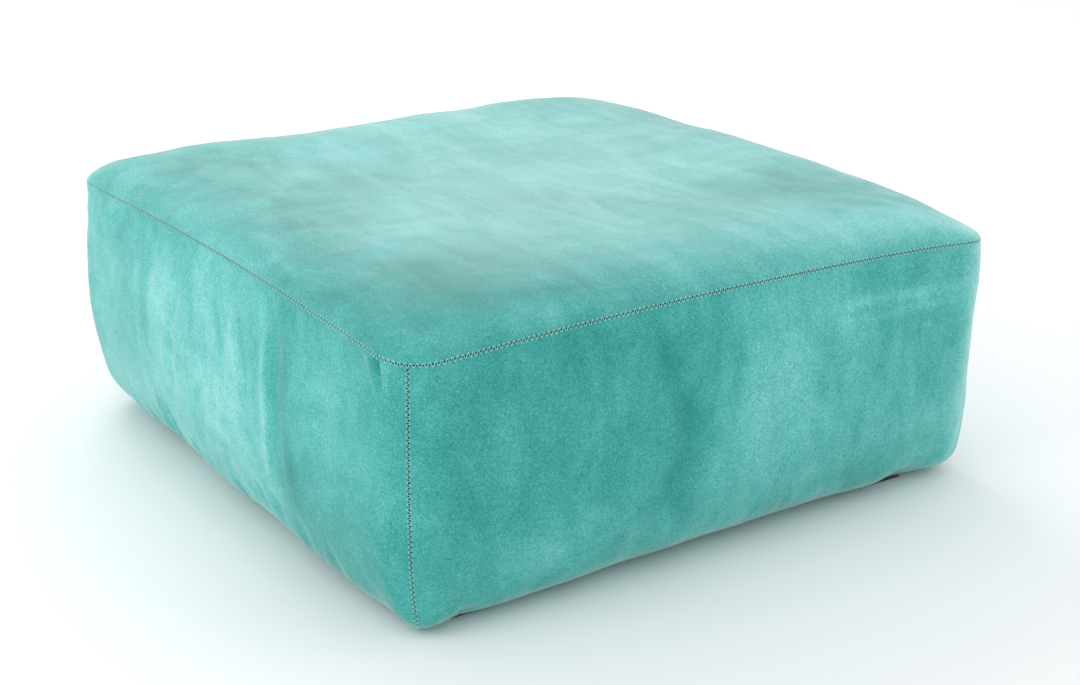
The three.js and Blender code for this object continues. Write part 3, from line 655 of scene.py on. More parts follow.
def mat_fibre():
    m = Mat("fibre_wadding")
    a = m.noise(30, 6, 0.7, 1.5, m.mapping((6, 1, 1), (0, 0, 0.6)))
    b = m.noise(70, 5, 0.7, 2.0, m.mapping((1, 7, 1), (0, 0, 0.2)))
    v = m.math("MULTIPLY", m.math("ADD", a, b), 0.5)
    m.color(m.ramp(v, [(0.2, (0.66, 0.66, 0.63)), (0.8, (0.88, 0.88, 0.85))]))
    m.set(Roughness=0.98, Specular_IOR_Level=0.08, Sheen_Weight=0.4)
    m.bump((a, 0.6, 0.003), (b, 0.5, 0.002))
    return m.m


def mat_wood(name, dark, light, along):
    m = Mat(name)
    sc = {"x": (0.9, 14, 14), "y": (14, 0.9, 14), "z": (14, 14, 0.9)}[along]
    mp = m.mapping(sc, (0.03, 0.02, 0.04))
    rings = m.noise(2.6, 5, 0.55, 1.6, mp)
    band = m.math("FRACT", m.math("MULTIPLY", rings, 7.0))
    fine = m.noise(40, 3, 0.6, 0.2, mp)
    pores = m.noise(160, 2, 0.6, 0.0, mp)
    v = m.math("MULTIPLY_ADD", band, 0.45, m.math("MULTIPLY_ADD", fine, 0.4, m.math("MULTIPLY", pores, 0.15)))
    m.color(m.ramp(v, [(0.1, light), (0.75, dark), (1.0, tuple(c * 0.7 for c in dark))]))
    m.rough(m.math("MULTIPLY_ADD", fine, 0.2, 0.6))
    m.set(Specular_IOR_Level=0.3)
    m.bump((fine, 0.3, 0.0008), (pores, 0.4, 0.0004))
    return m.m


def mat_webbing():
    m = Mat("elastic_webbing")
    wx, wy = m.wave(330, 0.1, direction="X", detail=0), m.wave(330, 0.1, direction="Y", detail=0)
    n = m.noise(20, 3)
    v = m.math("MULTIPLY_ADD", m.math("MULTIPLY", wx, wy), 0.6, m.math("MULTIPLY", n, 0.4))
    stripe = m.math("GREATER_THAN", m.wave(11.2, 0.0, direction="DIAGONAL", detail=0), 0.93)
    col = m.ramp(v, [(0.0, (0.008, 0.010, 0.013)), (1.0, (0.050, 0.058, 0.068))])
    m.color(m.mix(m.math("MULTIPLY", stripe, 0.35), col, (0.42, 0.40, 0.34)))
    m.set(Roughness=0.8, Specular_IOR_Level=0.25)
    m.bump((wx, 0.5, 0.0004), (wy, 0.5, 0.0004))
    return m.m


def mat_felt():
    m = Mat("grey_felt")
    a = m.noise(220, 5, 0.75, 0.8)
    b = m.noise(12, 4)
    m.color(m.ramp(m.math("MULTIPLY_ADD", a, 0.7, m.math("MULTIPLY", b, 0.3)), [(0.2, (0.13, 0.13, 0.125)), (0.8, (0.42, 0.42, 0.40))]))
    m.set(Roughness=0.97, Specular_IOR_Level=0.05, Sheen_Weight=0.3)
    m.bump((b, 0.3, 0.003), (a, 0.6, 0.0008))
    return m.m


def mat_dust():
    m = Mat("black_nonwoven")
    dots = m.voronoi(560)
    fib = m.noise(180, 5, 0.7, 1.0)
    wr = m.noise(9, 4, 0.6, 0.5)
    v = m.math("MULTIPLY_ADD", fib, 0.6, m.math("MULTIPLY", dots, 0.4))
    m.color(m.ramp(v, [(0.1, (0.006, 0.0065, 0.007)), (0.9, (0.035, 0.037, 0.040))]))
    m.rough(m.math("MULTIPLY_ADD", fib, 0.15, 0.78))
    m.set(Specular_IOR_Level=0.2)
    m.bump((wr, 0.35, 0.006), (dots, 0.4, 0.0006), (fib, 0.3, 0.0004))
    return m.m


def mat_plastic():
    m = Mat("black_foot_plastic")
    tex = m.voronoi(1500)
    sc = m.noise(55, 5, 0.6, 0.4)
    wear = m.noise(400, 3, 0.7, 0.2, m.mapping((1, 6, 1), (0, 0, 0.4)))
    m.color(m.ramp(m.math("MULTIPLY_ADD", sc, 0.6, m.math("MULTIPLY", wear, 0.4)), [(0.2, (0.010, 0.011, 0.012)), (0.9, (0.040, 0.042, 0.045))]))
    m.rough(m.math("MULTIPLY_ADD", sc, 0.22, 0.38))
    m.set(Specular_IOR_Level=0.45)
    m.bump((wear, 0.15, 0.0003), (tex, 0.35, 0.0002))
    return m.m


def mat_steel(name="zinc_steel"):
    m = Mat(name)
    br = m.noise(300, 4, 0.6, 0.2, m.mapping((1, 9, 1)))
    sp = m.noise(25, 4)
    m.color(m.ramp(m.math("MULTIPLY_ADD", br, 0.5, m.math("MULTIPLY", sp, 0.5)), [(0.1, (0.42, 0.42, 0.40)), (0.9, (0.72, 0.72, 0.70))]))
    m.set(Metallic=0.9)
    m.rough(m.math("MULTIPLY_ADD", br, 0.25, 0.26))
    m.bump((br, 0.25, 0.0002),)
    return m.m


M_FAB, M_TAPE, M_THREAD = mat_fabric(), mat_tape(), mat_thread()
M_SIDE = mat_foam("soft_foam", (0.52, 0.49, 0.40), (0.80, 0.77, 0.66))
M_CORE = mat_foam("firm_foam", (0.42, 0.36, 0.20), (0.72, 0.64, 0.40), 300)
M_TOPF = mat_foam("top_foam_soft", (0.60, 0.58, 0.50), (0.86, 0.84, 0.76), 520)
M_FIBRE, M_WEB, M_FELT, M_DUST = mat_fibre(), mat_webbing(), mat_felt(), mat_dust()
M_WOODX = mat_wood("pine_along_x", (0.40, 0.24, 0.11), (0.66, 0.46, 0.26), "x")
M_WOODY = mat_wood("pine_along_y", (0.40, 0.24, 0.11), (0.66, 0.46, 0.26), "y")
M_BLOCK = mat_wood("sawn_block", (0.34, 0.21, 0.10), (0.58, 0.40, 0.22), "z")
M_FOOT, M_STEEL = mat_plastic(), mat_steel()


def paint(ob, mat):
    ob.data.materials.clear()
    ob.data.materials.append(mat)


# =====================================================================================================
# Shape detail: corrections, folds and nap marks (the marks partly painted light and shade), all placed on the surface
# in millimetres
# =====================================================================================================
# DETAIL-BEGIN
BUMPS = []      # (x, y, z, radius x, y, z, height) in mm: soft swells and hollows along the surface normal
# Folds: (points in mm, width mm, height mm); a negative height is a crease, a positive one a ridge
FOLDS = [
    # the tuck under the seam beside the front left corner, with its two small ridges
    ([(-478, -417, 374), (-479, -420, 356), (-480, -424, 340), (-480, -429, 324)], 6.5, -6.0),
    ([(-476, -432, 372), (-477, -436, 352), (-478, -442, 322)], 7, 2.4),
    ([(-482, -400, 370), (-483, -403, 348), (-485, -407, 326)], 10, 1.4),
    # creases at the foot of the left side
    ([(-490, 176, 118), (-486, 182, 88), (-474, 184, 62), (-470, 160, 50), (-468, 138, 40)], 8, -4.6),
    ([(-491, 150, 112), (-486, 148, 82), (-474, 142, 56), (-468, 122, 42)], 6, -3.0),
    ([(-489, 164, 104), (-480, 160, 74), (-471, 148, 50)], 6, 2.6),
    ([(-486, 96, 84), (-480, 80, 62), (-472, 62, 44)], 8, -3.0),
    ([(-484, 50, 80), (-478, 34, 54), (-468, 14, 30)], 9, -2.4),
    ([(-490, -142, 108), (-487, -148, 86), (-480, -152, 62), (-472, -154, 44)], 9, 2.4),
    ([(-490, -126, 104), (-484, -130, 78), (-474, -134, 50)], 7, -3.2),
    ([(-490, -172, 98), (-484, -176, 74), (-474, -178, 46)], 9, -2.6),
    ([(-480, -36, 74), (-474, -50, 48), (-466, -62, 24)], 9, -2.6),
    ([(-482, -228, 92), (-478, -234, 62), (-468, -240, 30)], 12, -2.2),
    ([(-480, -300, 80), (-474, -306, 52), (-464, -310, 24)], 10, -1.8),
    ([(-474, 250, 70), (-470, 240, 46), (-462, 232, 26)], 9, -2.0),
    ([(-474, 318, 84), (-470, 306, 58), (-458, 296, 32)], 10, 2.0),
    # slack upright waves in the left side
    ([(-482, -168, 338), (-494, -172, 280), (-500, -178, 216), (-492, -172, 110)], 13, 2.2),
    ([(-482, -190, 336), (-494, -196, 276), (-500, -206, 210), (-494, -210, 120)], 15, -2.2),
    ([(-484, -92, 322), (-496, -108, 270), (-500, -128, 220), (-494, -140, 150)], 15, -1.5),
    ([(-486, -24, 318), (-498, -50, 262), (-500, -66, 200)], 14, -1.3),
    ([(-484, 110, 330), (-496, 100, 270), (-498, 104, 190), (-490, 120, 120)], 16, -1.6),
    ([(-484, 160, 330), (-492, 158, 260), (-494, 160, 180)], 16, 1.3),
    ([(-484, -300, 326), (-492, -316, 250), (-494, -326, 160)], 18, -1.3),
    # the front side: a pressed band, shallow diagonals at the foot, a long pale crease, hem waves
    ([(-122, -480, 348), (-102, -492, 290), (-82, -500, 226), (-78, -500, 160)], 17, -2.4),
    ([(-150, -498, 168), (-120, -492, 120), (-84, -480, 76), (-50, -466, 46)], 13, -2.2),
    ([(-196, -496, 140), (-170, -490, 98), (-140, -474, 56)], 11, 1.8),
    ([(-90, -494, 128), (-60, -488, 92), (-24, -474, 52)], 10, 1.8),
    ([(40, -486, 322), (150, -490, 318), (270, -489, 313), (405, -484, 306)], 6, 1.7),
    ([(40, -488, 310), (150, -493, 305), (270, -492, 300), (405, -486, 293)], 7, -1.2),
    ([(-404, -474, 62), (-396, -470, 44), (-384, -462, 26)], 7, -2.6),
    ([(-382, -474, 60), (-374, -468, 42), (-364, -460, 22)], 7, 2.4),
    ([(-356, -478, 66), (-348, -470, 44), (-336, -458, 22)], 8, -2.2),
    ([(-300, -480, 70), (-292, -472, 46), (-282, -460, 24)], 10, -1.5),
    ([(100, -484, 84), (112, -474, 56), (120, -460, 30)], 10, -1.8),
    ([(160, -484, 84), (170, -474, 56), (182, -460, 32)], 9, 1.8),
    ([(214, -484, 82), (222, -474, 56), (230, -462, 32)], 10, -1.8),
    ([(392, -478, 96), (398, -470, 62), (400, -456, 34)], 12, -1.6),
    # the top: slack near the left edge and a pulled line toward the front corner
    ([(-424, -242, 399), (-344, -188, 402), (-254, -138, 398), (-180, -110, 395)], 24, 0.6),
    ([(-430, -270, 399), (-350, -214, 402), (-262, -164, 399)], 26, -0.6),
    ([(-378, 64, 403), (-312, 132, 400), (-244, 196, 396)], 22, 0.6),
    ([(-372, 34, 403), (-300, 102, 400), (-230, 162, 396)], 26, -0.6),
    ([(300, -290, 399), (350, -296, 400), (420, -320, 396)], 20, -0.8),
]
# Nap marks, partly painted light: painted light on the left side, painted shade near the top's front corner, painted
# sheen across the top's far half and down the front right corner; (x, y, z, reach x, y, z, amount), lighter above zero
NAP_MARKS_AND_PAINTED_LIGHT = [
    # the pale marks on the left side are painted light together with nap tone
    (-495, 40, 250, 90, 165, 190, 0.34), (-490, -100, 130, 60, 95, 120, 0.30), (-490, 150, 300, 60, 90, 90, 0.16),
    (-485, 400, 300, 60, 90, 120, 0.16), (-480, 330, 120, 60, 120, 90, 0.16),
    (-490, -420, 200, 60, 90, 220, -0.14), (-485, -250, 320, 50, 70, 50, -0.10),
    # the dark top marks near the front corner are painted shade; the pale top marks below are painted sheen together
    # with nap tone
    (-440, -480, 290, 90, 50, 110, -0.16), (-380, -300, 395, 150, 200, 40, -0.26), (-250, -400, 400, 160, 90, 40, -0.20),
    (-340, 10, 402, 120, 105, 30, -0.30), (-350, 290, 398, 95, 90, 30, -0.18),
    (-190, -130, 396, 160, 120, 30, 0.24), (60, 0, 392, 260, 220, 30, 0.08), (300, 0, 400, 170, 160, 30, 0.16),
    (300, 350, 396, 70, 60, 30, -0.16), (320, -230, 400, 60, 75, 30, -0.20), (330, -172, 400, 22, 20, 25, -0.18),
    (330, -205, 400, 18, 16, 25, -0.14),
    (180, -370, 402, 130, 70, 30, 0.06), (330, -430, 392, 130, 50, 40, 0.10),
    (-240, -486, 340, 80, 40, 40, -0.12), (60, -495, 230, 120, 40, 120, 0.14), (250, -490, 280, 150, 40, 110, 0.06), (60, -470, 80, 220, 50, 70, 0.14), (0, 300, 396, 260, 150, 30, 0.14), (-60, -330, 400, 110, 80, 30, 0.12),
    # the first mark paints the pale grazing sheen down the front right corner
    (460, -466, 250, 40, 40, 210, 0.62), (-252, -455, 390, 80, 34, 25, 0.16), (320, -450, 391, 110, 44, 25, 0.14), (-436, 360, 390, 60, 80, 25, 0.12), (-270, -488, 90, 70, 40, 50, 0.22), (-440, -476, 140, 40, 50, 80, 0.05),
]
# Streaks, some brushed into the nap, many painted shade along creases and painted highlight along ridges of the folds:
# (points in mm, width mm, amount)
STREAKS_AND_PAINTED_FOLD_LIGHT = [
    # painted shade in the tuck's crease and painted highlight on its ridge
    ([(-479, -419, 372), (-480, -423, 354), (-480, -428, 338)], 6, -0.50),
    ([(-476, -433, 370), (-477, -437, 350), (-478, -442, 322)], 5, 0.20),
    # painted shade along the front crease and down to its foot
    ([(-122, -481, 352), (-104, -492, 294), (-84, -500, 228), (-76, -501, 190)], 20, -0.24),
    ([(-84, -500, 190), (-90, -496, 130), (-110, -486, 80)], 40, -0.16),
    # painted highlight along the long ridge across the front
    ([(120, -490, 320), (240, -490, 315), (330, -488, 311), (420, -484, 305)], 8, 0.20),
    ([(180, -492, 296), (300, -491, 292), (420, -486, 286)], 7, 0.16),
    ([(-426, -244, 399), (-344, -188, 402), (-254, -138, 398), (-200, -118, 396)], 20, 0.12),
    ([(-386, 50, 402), (-310, 134, 400), (-236, 204, 396)], 20, 0.14),
    # painted highlight on a left side ridge and painted shade in the crease beside it
    ([(-478, -140, 352), (-494, -162, 279), (-499, -177, 216), (-494, -172, 120), (-480, -156, 66)], 8, 0.26),
    ([(-478, -196, 346), (-492, -206, 300), (-497, -214, 242), (-496, -232, 154), (-484, -244, 80)], 16, -0.22),
    # painted shade in two left side creases and painted highlight between them
    ([(-484, -12, 330), (-497, -50, 262), (-500, -62, 225)], 7, -0.18), ([(-484, -80, 330), (-498, -118, 256), (-500, -132, 215)], 7, -0.18),
    ([(-484, -50, 326), (-498, -88, 256), (-500, -104, 210)], 6, 0.14), ([(-484, 62, 338), (-497, 40, 270), (-500, 34, 220)], 8, -0.12),
    ([(-480, 210, 350), (-490, 200, 260), (-494, 186, 180), (-488, 172, 120)], 18, -0.16),
    ([(-474, 300, 360), (-482, 290, 300), (-486, 280, 240)], 16, -0.10),
    ([(-300, 300, 398), (-380, 260, 399), (-440, 190, 396)], 12, 0.12), ([(-440, -20, 398), (-340, -66, 403), (-260, -60, 399)], 14, -0.14),
    ([(40, 60, 390), (150, -20, 393), (260, -60, 399)], 12, 0.10), ([(-60, -60, 392), (60, -120, 394), (160, -200, 399)], 14, -0.08),
    ([(-300, -300, 400), (-200, -340, 401), (-60, -370, 402)], 16, -0.10), ([(120, 180, 392), (230, 120, 395), (330, 100, 400)], 12, -0.10),
    ([(380, -300, 399), (430, -250, 396), (450, -180, 390)], 12, 0.10), ([(-330, -484, 330), (-340, -494, 260), (-330, -498, 180)], 20, 0.08),
    ([(490, -300, 330), (500, -200, 250), (498, -60, 180)], 26, 0.16), ([(494, 60, 320), (500, 140, 240), (494, 250, 140)], 30, -0.14),
    ([(300, 490, 320), (160, 500, 240), (20, 496, 160)], 26, 0.14), ([(-120, 492, 320), (-200, 500, 230), (-330, 492, 150)], 28, -0.14),
    ([(480, 300, 340), (496, 330, 250), (490, 350, 160)], 20, 0.12), ([(60, 486, 340), (90, 498, 250), (140, 494, 150)], 16, -0.10),
]


def hem_gathers():
    """Short folds where the cloth turns under the base, on every side."""
    r = np.random.default_rng(77)
    out = []
    for k in range(4):
        a, o = np.array([[1, 0], [0, 1], [-1, 0], [0, -1]])[k], np.array([[0, -1], [1, 0], [0, 1], [-1, 0]])[k]
        u = -400 + r.uniform(0, 40)
        while u < 400:
            strong = 0.8 if k in (1, 2) else 0.30
            h = r.uniform(1.2, 2.8) * strong * r.choice([-1, -1, 1])
            top, lean = r.uniform(55, 130), r.uniform(-14, 14)
            pts = []
            for q in (0, 0.5, 1):
                z = top * (1 - q) + 16 * q
                w = 494 - 0.0 * q - 40 * q ** 2
                p = a * (u + lean * q) + o * w
                pts.append((p[0], p[1], z))
            out.append((pts, r.uniform(7, 12), h))
            u += r.uniform(34, 80)
    return out


def seam_tugs():
    """Faint short pulls running down from the top seam on every side."""
    r = np.random.default_rng(78)
    out = []
    for k in range(4):
        a, o = np.array([[1, 0], [0, 1], [-1, 0], [0, -1]])[k], np.array([[0, -1], [1, 0], [0, 1], [-1, 0]])[k]
        u = -410 + r.uniform(0, 60)
        while u < 410:
            d, lean = r.uniform(18, 55), r.uniform(-10, 10)
            p0, p1 = a * u + o * 474, a * (u + lean) + o * 484
            out.append(([(p0[0], p0[1], 362), (p1[0], p1[1], 362 - d)], r.uniform(6, 11), r.uniform(0.5, 1.2) * r.choice([-1, 1])))
            u += r.uniform(40, 110)
    return out


FOLDS = FOLDS + hem_gathers() + seam_tugs()
# DETAIL-END


def field_bumps(P, items):
    out = np.zeros(P.shape[:-1])
    Q = P * 1000
    for x, y, z, rx, ry, rz, h in items:
        e = ((Q[..., 0] - x) / rx) ** 2 + ((Q[..., 1] - y) / ry) ** 2 + ((Q[..., 2] - z) / rz) ** 2
        out += h * np.exp(-e)
    return out


def field_folds(P, items):
    out = np.zeros(P.shape[:-1])
    Q = P.reshape(-1, 3) * 1000
    flat = out.reshape(-1)
    lo_q, hi_q = Q.min(0), Q.max(0)
    Qall = Q
    for pts, width, height in items:
        pts = np.array(pts, float)
        reach = width * 3.2
        if (pts.min(0) - reach > hi_q).any() or (pts.max(0) + reach < lo_q).any():
            continue
        pick = np.nonzero(((Qall > pts.min(0) - reach) & (Qall < pts.max(0) + reach)).all(1))[0]
        if not len(pick):
            continue
        Q = Qall[pick]
        seg = np.linalg.norm(np.diff(pts, axis=0), axis=1)
        cum = np.concatenate([[0], np.cumsum(seg)])
        best = np.full(len(Q), 1e9)
        along = np.zeros(len(Q))
        for i in range(len(pts) - 1):
            d = pts[i + 1] - pts[i]
            t = np.clip(((Q - pts[i]) @ d) / (d @ d), 0, 1)
            dist = np.linalg.norm(Q - (pts[i] + t[:, None] * d), axis=1)
            better = dist < best
            best = np.where(better, dist, best)
            along = np.where(better, (cum[i] + t * seg[i]) / cum[-1], along)
        env = np.sin(np.pi * np.clip(along, 0.0, 1.0)) ** 0.7
        w = width * (0.55 + 0.45 * np.sin(np.pi * np.clip(along, 0, 1)))
        x = best / w
        flat[pick] += height * env * (np.exp(-x * x) - 0.35 * np.exp(-((x - 1.9) / 0.8) ** 2))
    return out


def seam_wave(P, dist, s_mm, amp=0.9):
    """Small puckers where the stitching gathers the cloth."""
    fade = np.exp(-(dist * 1000 - 7) ** 2 / 90.0)
    return amp * fade * (np.sin(s_mm / 19.0 + 1.3 * np.sin(s_mm / 61.0)) * 0.6 + np.sin(s_mm / 9.7 + 2.0) * 0.4)


def soft_noise(P, seed, scale, octaves=3):
    """Smooth value noise from a few rotated sine sheets; the same every run."""
    r = np.random.default_rng(seed)
    out = np.zeros(P.shape[:-1])
    a = 1.0
    for o in range(octaves):
        for _ in range(6):
            d = r.normal(size=3)
            d /= np.linalg.norm(d)
            ph, f = r.uniform(0, 6.28), r.uniform(0.7, 1.3) * 2 * np.pi / scale
            d2 = r.normal(size=3)
            d2 /= np.linalg.norm(d2)
            out += a * np.sin((P @ d) * f + ph + 1.4 * np.sin((P @ d2) * f * 0.7 + ph * 2.1)) / 6
        a *= 0.55
        scale *= 0.5
    return out


def lip(dist):
    """Rolled edge of the cloth beside a seam."""
    R = 0.0015
    x = np.clip(R - (dist - NEAR[0]), 0, R)
    return R - np.sqrt(np.maximum(R * R - x * x, 0))


# =====================================================================================================
# Cover: five panels, tapes and zigzag stitching
# =====================================================================================================
STEP = 0.0055
SIM_TOP, SIM_SIDE = 0.20, 0.32      # share of the simulated slack that is kept
SIDES = ["front", "right", "back", "left"]
CORNERS = ["front_left", "front_right", "back_right", "back_left"]
AXES = np.array([[1, 0], [0, 1], [-1, 0], [0, -1]], float)       # along each side
OUT = np.array([[0, -1], [1, 0], [0, 1], [-1, 0]], float)        # out of each side


def displace_mm(P, dist, s_mm=None):
    """Height of the cloth above its smooth shape, in mm: folds, swells and slight unevenness."""
    d = field_folds(P, FOLDS) * sstep(dist, 0.002, 0.010)
    d = d + 0.75 * soft_noise(P, 11, 0.26, 3) * sstep(dist, 0.003, 0.024)
    if s_mm is not None:
        d = d + seam_wave(P, dist, s_mm) * sstep(dist, 0.002, 0.006)
    return d


def seam_frame(s):
    """Normals and inward tangents of the top and of the side right beside the top seam."""
    s = np.asarray(s, float)
    c = seam_pt(s)
    tt = top_pt(s, g_at(s, 0.005 + 0 * s)) - c
    ts = side_pt(s, v_at(s, 0.005 + 0 * s)) - c
    T = seam_pt(s + 0.002) - seam_pt(s - 0.002)
    nrm = lambda a: a / np.maximum(np.linalg.norm(a, axis=-1, keepdims=True), 1e-12)
    T, tt, ts = nrm(T), nrm(tt), nrm(ts)
    nt, ns = nrm(np.cross(T, tt)), nrm(np.cross(ts, T))
    cosq = np.clip((nt * ns).sum(-1), -1, 1)
    tan_half = np.tan(np.arccos(cosq) / 2)
    return c, T, tt, ts, nt, ns, np.minimum(tan_half, 1.3)


# nap tone per vertex, together with painted sheen, painted shade and painted highlights
def nap_and_painted_light_at(P, extra=0.0):
    v = np.zeros(P.shape[:-1])
    Q = P * 1000
    for x, y, z, rx, ry, rz, a in NAP_MARKS_AND_PAINTED_LIGHT:
        e = ((Q[..., 0] - x) / rx) ** 2 + ((Q[..., 1] - y) / ry) ** 2 + ((Q[..., 2] - z) / rz) ** 2
        v += a * np.exp(-e)
    for pts, width, amt in STREAKS_AND_PAINTED_FOLD_LIGHT:
        v += amt * streak(P, pts, width)
    return v + extra


def top_painted_sheen_amount(P):
    """How much painted sheen the top gets: most across the middle and the far half."""
    x, y = P[..., 0], P[..., 1]
    v = 0.60 * np.exp(-((x - 0.10) / 0.42) ** 2 - ((y - 0.05) / 0.40) ** 2)
    v += 0.22 * np.exp(-((x + 0.20) / 0.20) ** 2 - ((y + 0.15) / 0.16) ** 2)
    return np.clip(v + 0.04, 0, 1)


def streak(P, pts, width):
    Q = P.reshape(-1, 3) * 1000
    pts = np.array(pts, float)
    best = np.full(len(Q), 1e9)
    along = np.zeros(len(Q))
    L = np.concatenate([[0], np.cumsum(np.linalg.norm(np.diff(pts, axis=0), axis=1))])
    for i in range(len(pts) - 1):
        d = pts[i + 1] - pts[i]
        t = np.clip(((Q - pts[i]) @ d) / (d @ d), 0, 1)
        dist = np.linalg.norm(Q - (pts[i] + t[:, None] * d), axis=1)
        better = dist < best
        best = np.where(better, dist, best)
        along = np.where(better, (L[i] + t * (L[i + 1] - L[i])) / L[-1], along)
    env = np.minimum(1, 3.0 * np.minimum(along + 0.05, 1.05 - along))
    return (np.exp(-(best / width) ** 2) * env).reshape(P.shape[:-1])


def seam_near(dist):
    return np.exp(-np.maximum(dist * 1000 - 1.0, 0) / 2.6)


# =====================================================================================================
# Cloth simulation: each panel is held at its seams and hem, let out a little and blown against them,
# so that it settles into slack and gathers. Only the fine part of the result is kept.
# =====================================================================================================
def square_to_sg(a, b):
    R = np.maximum(np.maximum(np.abs(a), np.abs(b)), 1e-9)
    pa, pb = a / R, b / R
    s = np.select([pb <= -1 + 1e-9, pa >= 1 - 1e-9, pb >= 1 - 1e-9, pa <= -1 + 1e-9],
                  [(pa + 1) / 2, 1 + (pb + 1) / 2, 2 + (1 - pa) / 2, 3 + (1 - pb) / 2], 0.0)
    return s, np.minimum(R, 1.0)


def sg_to_square(s, g):
    s = np.mod(s, 4)
    k = np.minimum(np.floor(s).astype(int), 3)
    t = 2 * (s - k) - 1
    a = np.select([k == 0, k == 1, k == 2, k == 3], [t, 1 + 0 * t, -t, -1 + 0 * t])
    b = np.select([k == 0, k == 1, k == 2, k == 3], [-1 + 0 * t, t, 1 + 0 * t, -t])
    return a * g, b * g


def blur(F, passes):
    for _ in range(passes):
        G = np.pad(F, 1, mode="edge")
        F = (G[:-2, 1:-1] + G[2:, 1:-1] + G[1:-1, :-2] + G[1:-1, 2:] + 2 * G[1:-1, 1:-1]) / 6
    return F


def sample_cubic(F, u, v):
    """F on a regular grid over 0..1 by 0..1, smoothly sampled."""
    M, N = F.shape
    x, y = np.clip(u, 0, 1) * (M - 1), np.clip(v, 0, 1) * (N - 1)
    i, j = np.clip(np.floor(x).astype(int), 0, M - 2), np.clip(np.floor(y).astype(int), 0, N - 2)
    fx, fy = x - i, y - j

    def w(f):
        return [((-0.5 * f + 1.0) * f - 0.5) * f, ((1.5 * f - 2.5) * f) * f + 1.0, ((-1.5 * f + 2.0) * f + 0.5) * f, ((0.5 * f - 0.5) * f) * f]

    wx, wy = w(fx), w(fy)
    out = np.zeros(u.shape)
    for p in range(4):
        ii = np.clip(i + p - 1, 0, M - 1)
        for q in range(4):
            jj = np.clip(j + q - 1, 0, N - 1)
            out += wx[p] * wy[q] * F[ii, jj]
    return out


def simulate_panels():
    n_top, n_s, n_v = 81, 81, 33
    a, b = np.meshgrid(np.linspace(-1, 1, n_top), np.linspace(-1, 1, n_top), indexing="ij")
    s, g = square_to_sg(a, b)
    grids = [top_pt(s, g)]
    for k in range(4):
        S, V = np.meshgrid(k + np.linspace(0.0, 1.0, n_s), np.linspace(1, 0, n_v), indexing="ij")
        grids.append(side_pt(S, V))
    r = np.random.default_rng(12)
    fields = []
    for n, P in enumerate(grids):
        N = grid_normals(P) * (1 if n == 0 else -1)
        M, K = P.shape[:2]
        start = P + N * (soft_noise(P, 50 + n, 0.07, 2) * 0.0006)[..., None]
        ob = new_object(f"sim_{n}", start, grid_quads(M, K) if n == 0 else grid_quads(M, K)[:, ::-1])
        edge = np.zeros((M, K), bool)
        edge[0] = edge[-1] = edge[:, 0] = edge[:, -1] = True
        vg = ob.vertex_groups.new(name="pin")
        vg.add([int(i) for i in np.nonzero(edge.ravel())[0]], 1.0, "REPLACE")
        md = ob.modifiers.new("cloth", "CLOTH")
        st = md.settings
        st.vertex_group_mass = "pin"
        st.quality = 5
        st.mass = 0.25
        st.tension_stiffness = st.compression_stiffness = 22
        st.shear_stiffness = 8
        st.bending_stiffness = 0.35
        st.air_damping = 1.2
        st.effector_weights.gravity = 0
        st.shrink_min = st.shrink_max = -0.022
        st.use_pressure = True
        st.uniform_pressure_force = 1.6
        md.collision_settings.use_collision = False
        md.point_cache.frame_start, md.point_cache.frame_end = 1, 26
        sc = bpy.context.scene
        for f in range(1, 25):
            sc.frame_set(f)
        dg = bpy.context.evaluated_depsgraph_get()
        ev = ob.evaluated_get(dg)
        co = np.empty(len(ev.data.vertices) * 3, np.float32)
        ev.data.vertices.foreach_get("co", co)
        D = ((co.reshape(M, K, 3) - P) * N).sum(-1) * 1000
        bpy.data.objects.remove(ob, do_unlink=True)
        low = blur(D, 46)
        fine = np.clip(np.nan_to_num(D - low), -5, 5)
        fields.append(fine)
    bpy.context.scene.frame_set(1)
    return fields


SIM = simulate_panels()


def sim_top(s, g):
    if SIM is None:
        return np.zeros(np.broadcast(s, g).shape)
    a, b = sg_to_square(s, g)
    return sample_cubic(SIM[0], (a + 1) / 2, (b + 1) / 2)


def sim_side(k, S, V):
    if SIM is None:
        return np.zeros(S.shape)
    return sample_cubic(SIM[k + 1], np.clip(S - k, 0, 1), 1 - V)


def build_top():
    P, s, g, dist = top_grid(STEP)
    N = grid_normals(P)
    ring_s = s * 0.96 * 1000
    h = (displace_mm(P, dist, ring_s) + SIM_TOP * sim_top(s, g) * sstep(dist, 0.004, 0.070)) * 0.001
    w = 1 - sstep(dist, 0.001, 0.010)
    near = w > 0
    shift = np.zeros_like(P)
    _, _, tt, _, _, _, th = seam_frame(s[near])
    shift[near] = tt * (th * w[near])[:, None]
    base = P + N * h[..., None]
    outer = base - N * lip(dist)[..., None]
    inner = base - CLOTH * N + CLOTH * shift
    ob = sheet_object("cover_top_panel_cloth", outer, inner,
                      {"nap_and_painted_light": nap_and_painted_light_at(P), "seam": seam_near(dist), "top_painted_sheen": top_painted_sheen_amount(P)})
    paint(ob, M_FAB)
    return ob, P


def side_surface(k, P, S, dist):
    N = -grid_normals(P)
    h = displace_mm(P, dist, S * 0.96 * 1000) * 0.001
    return N, h


def pinched(P):
    """Share of the cloth's thickness left where it is squeezed over the back left corner of the frame."""
    e = ((P[..., 0] + 0.402) / 0.024) ** 2 + ((P[..., 1] - 0.401) / 0.024) ** 2 + ((P[..., 2] - 0.008) / 0.014) ** 2
    return 1 - 0.5 * np.exp(-e)


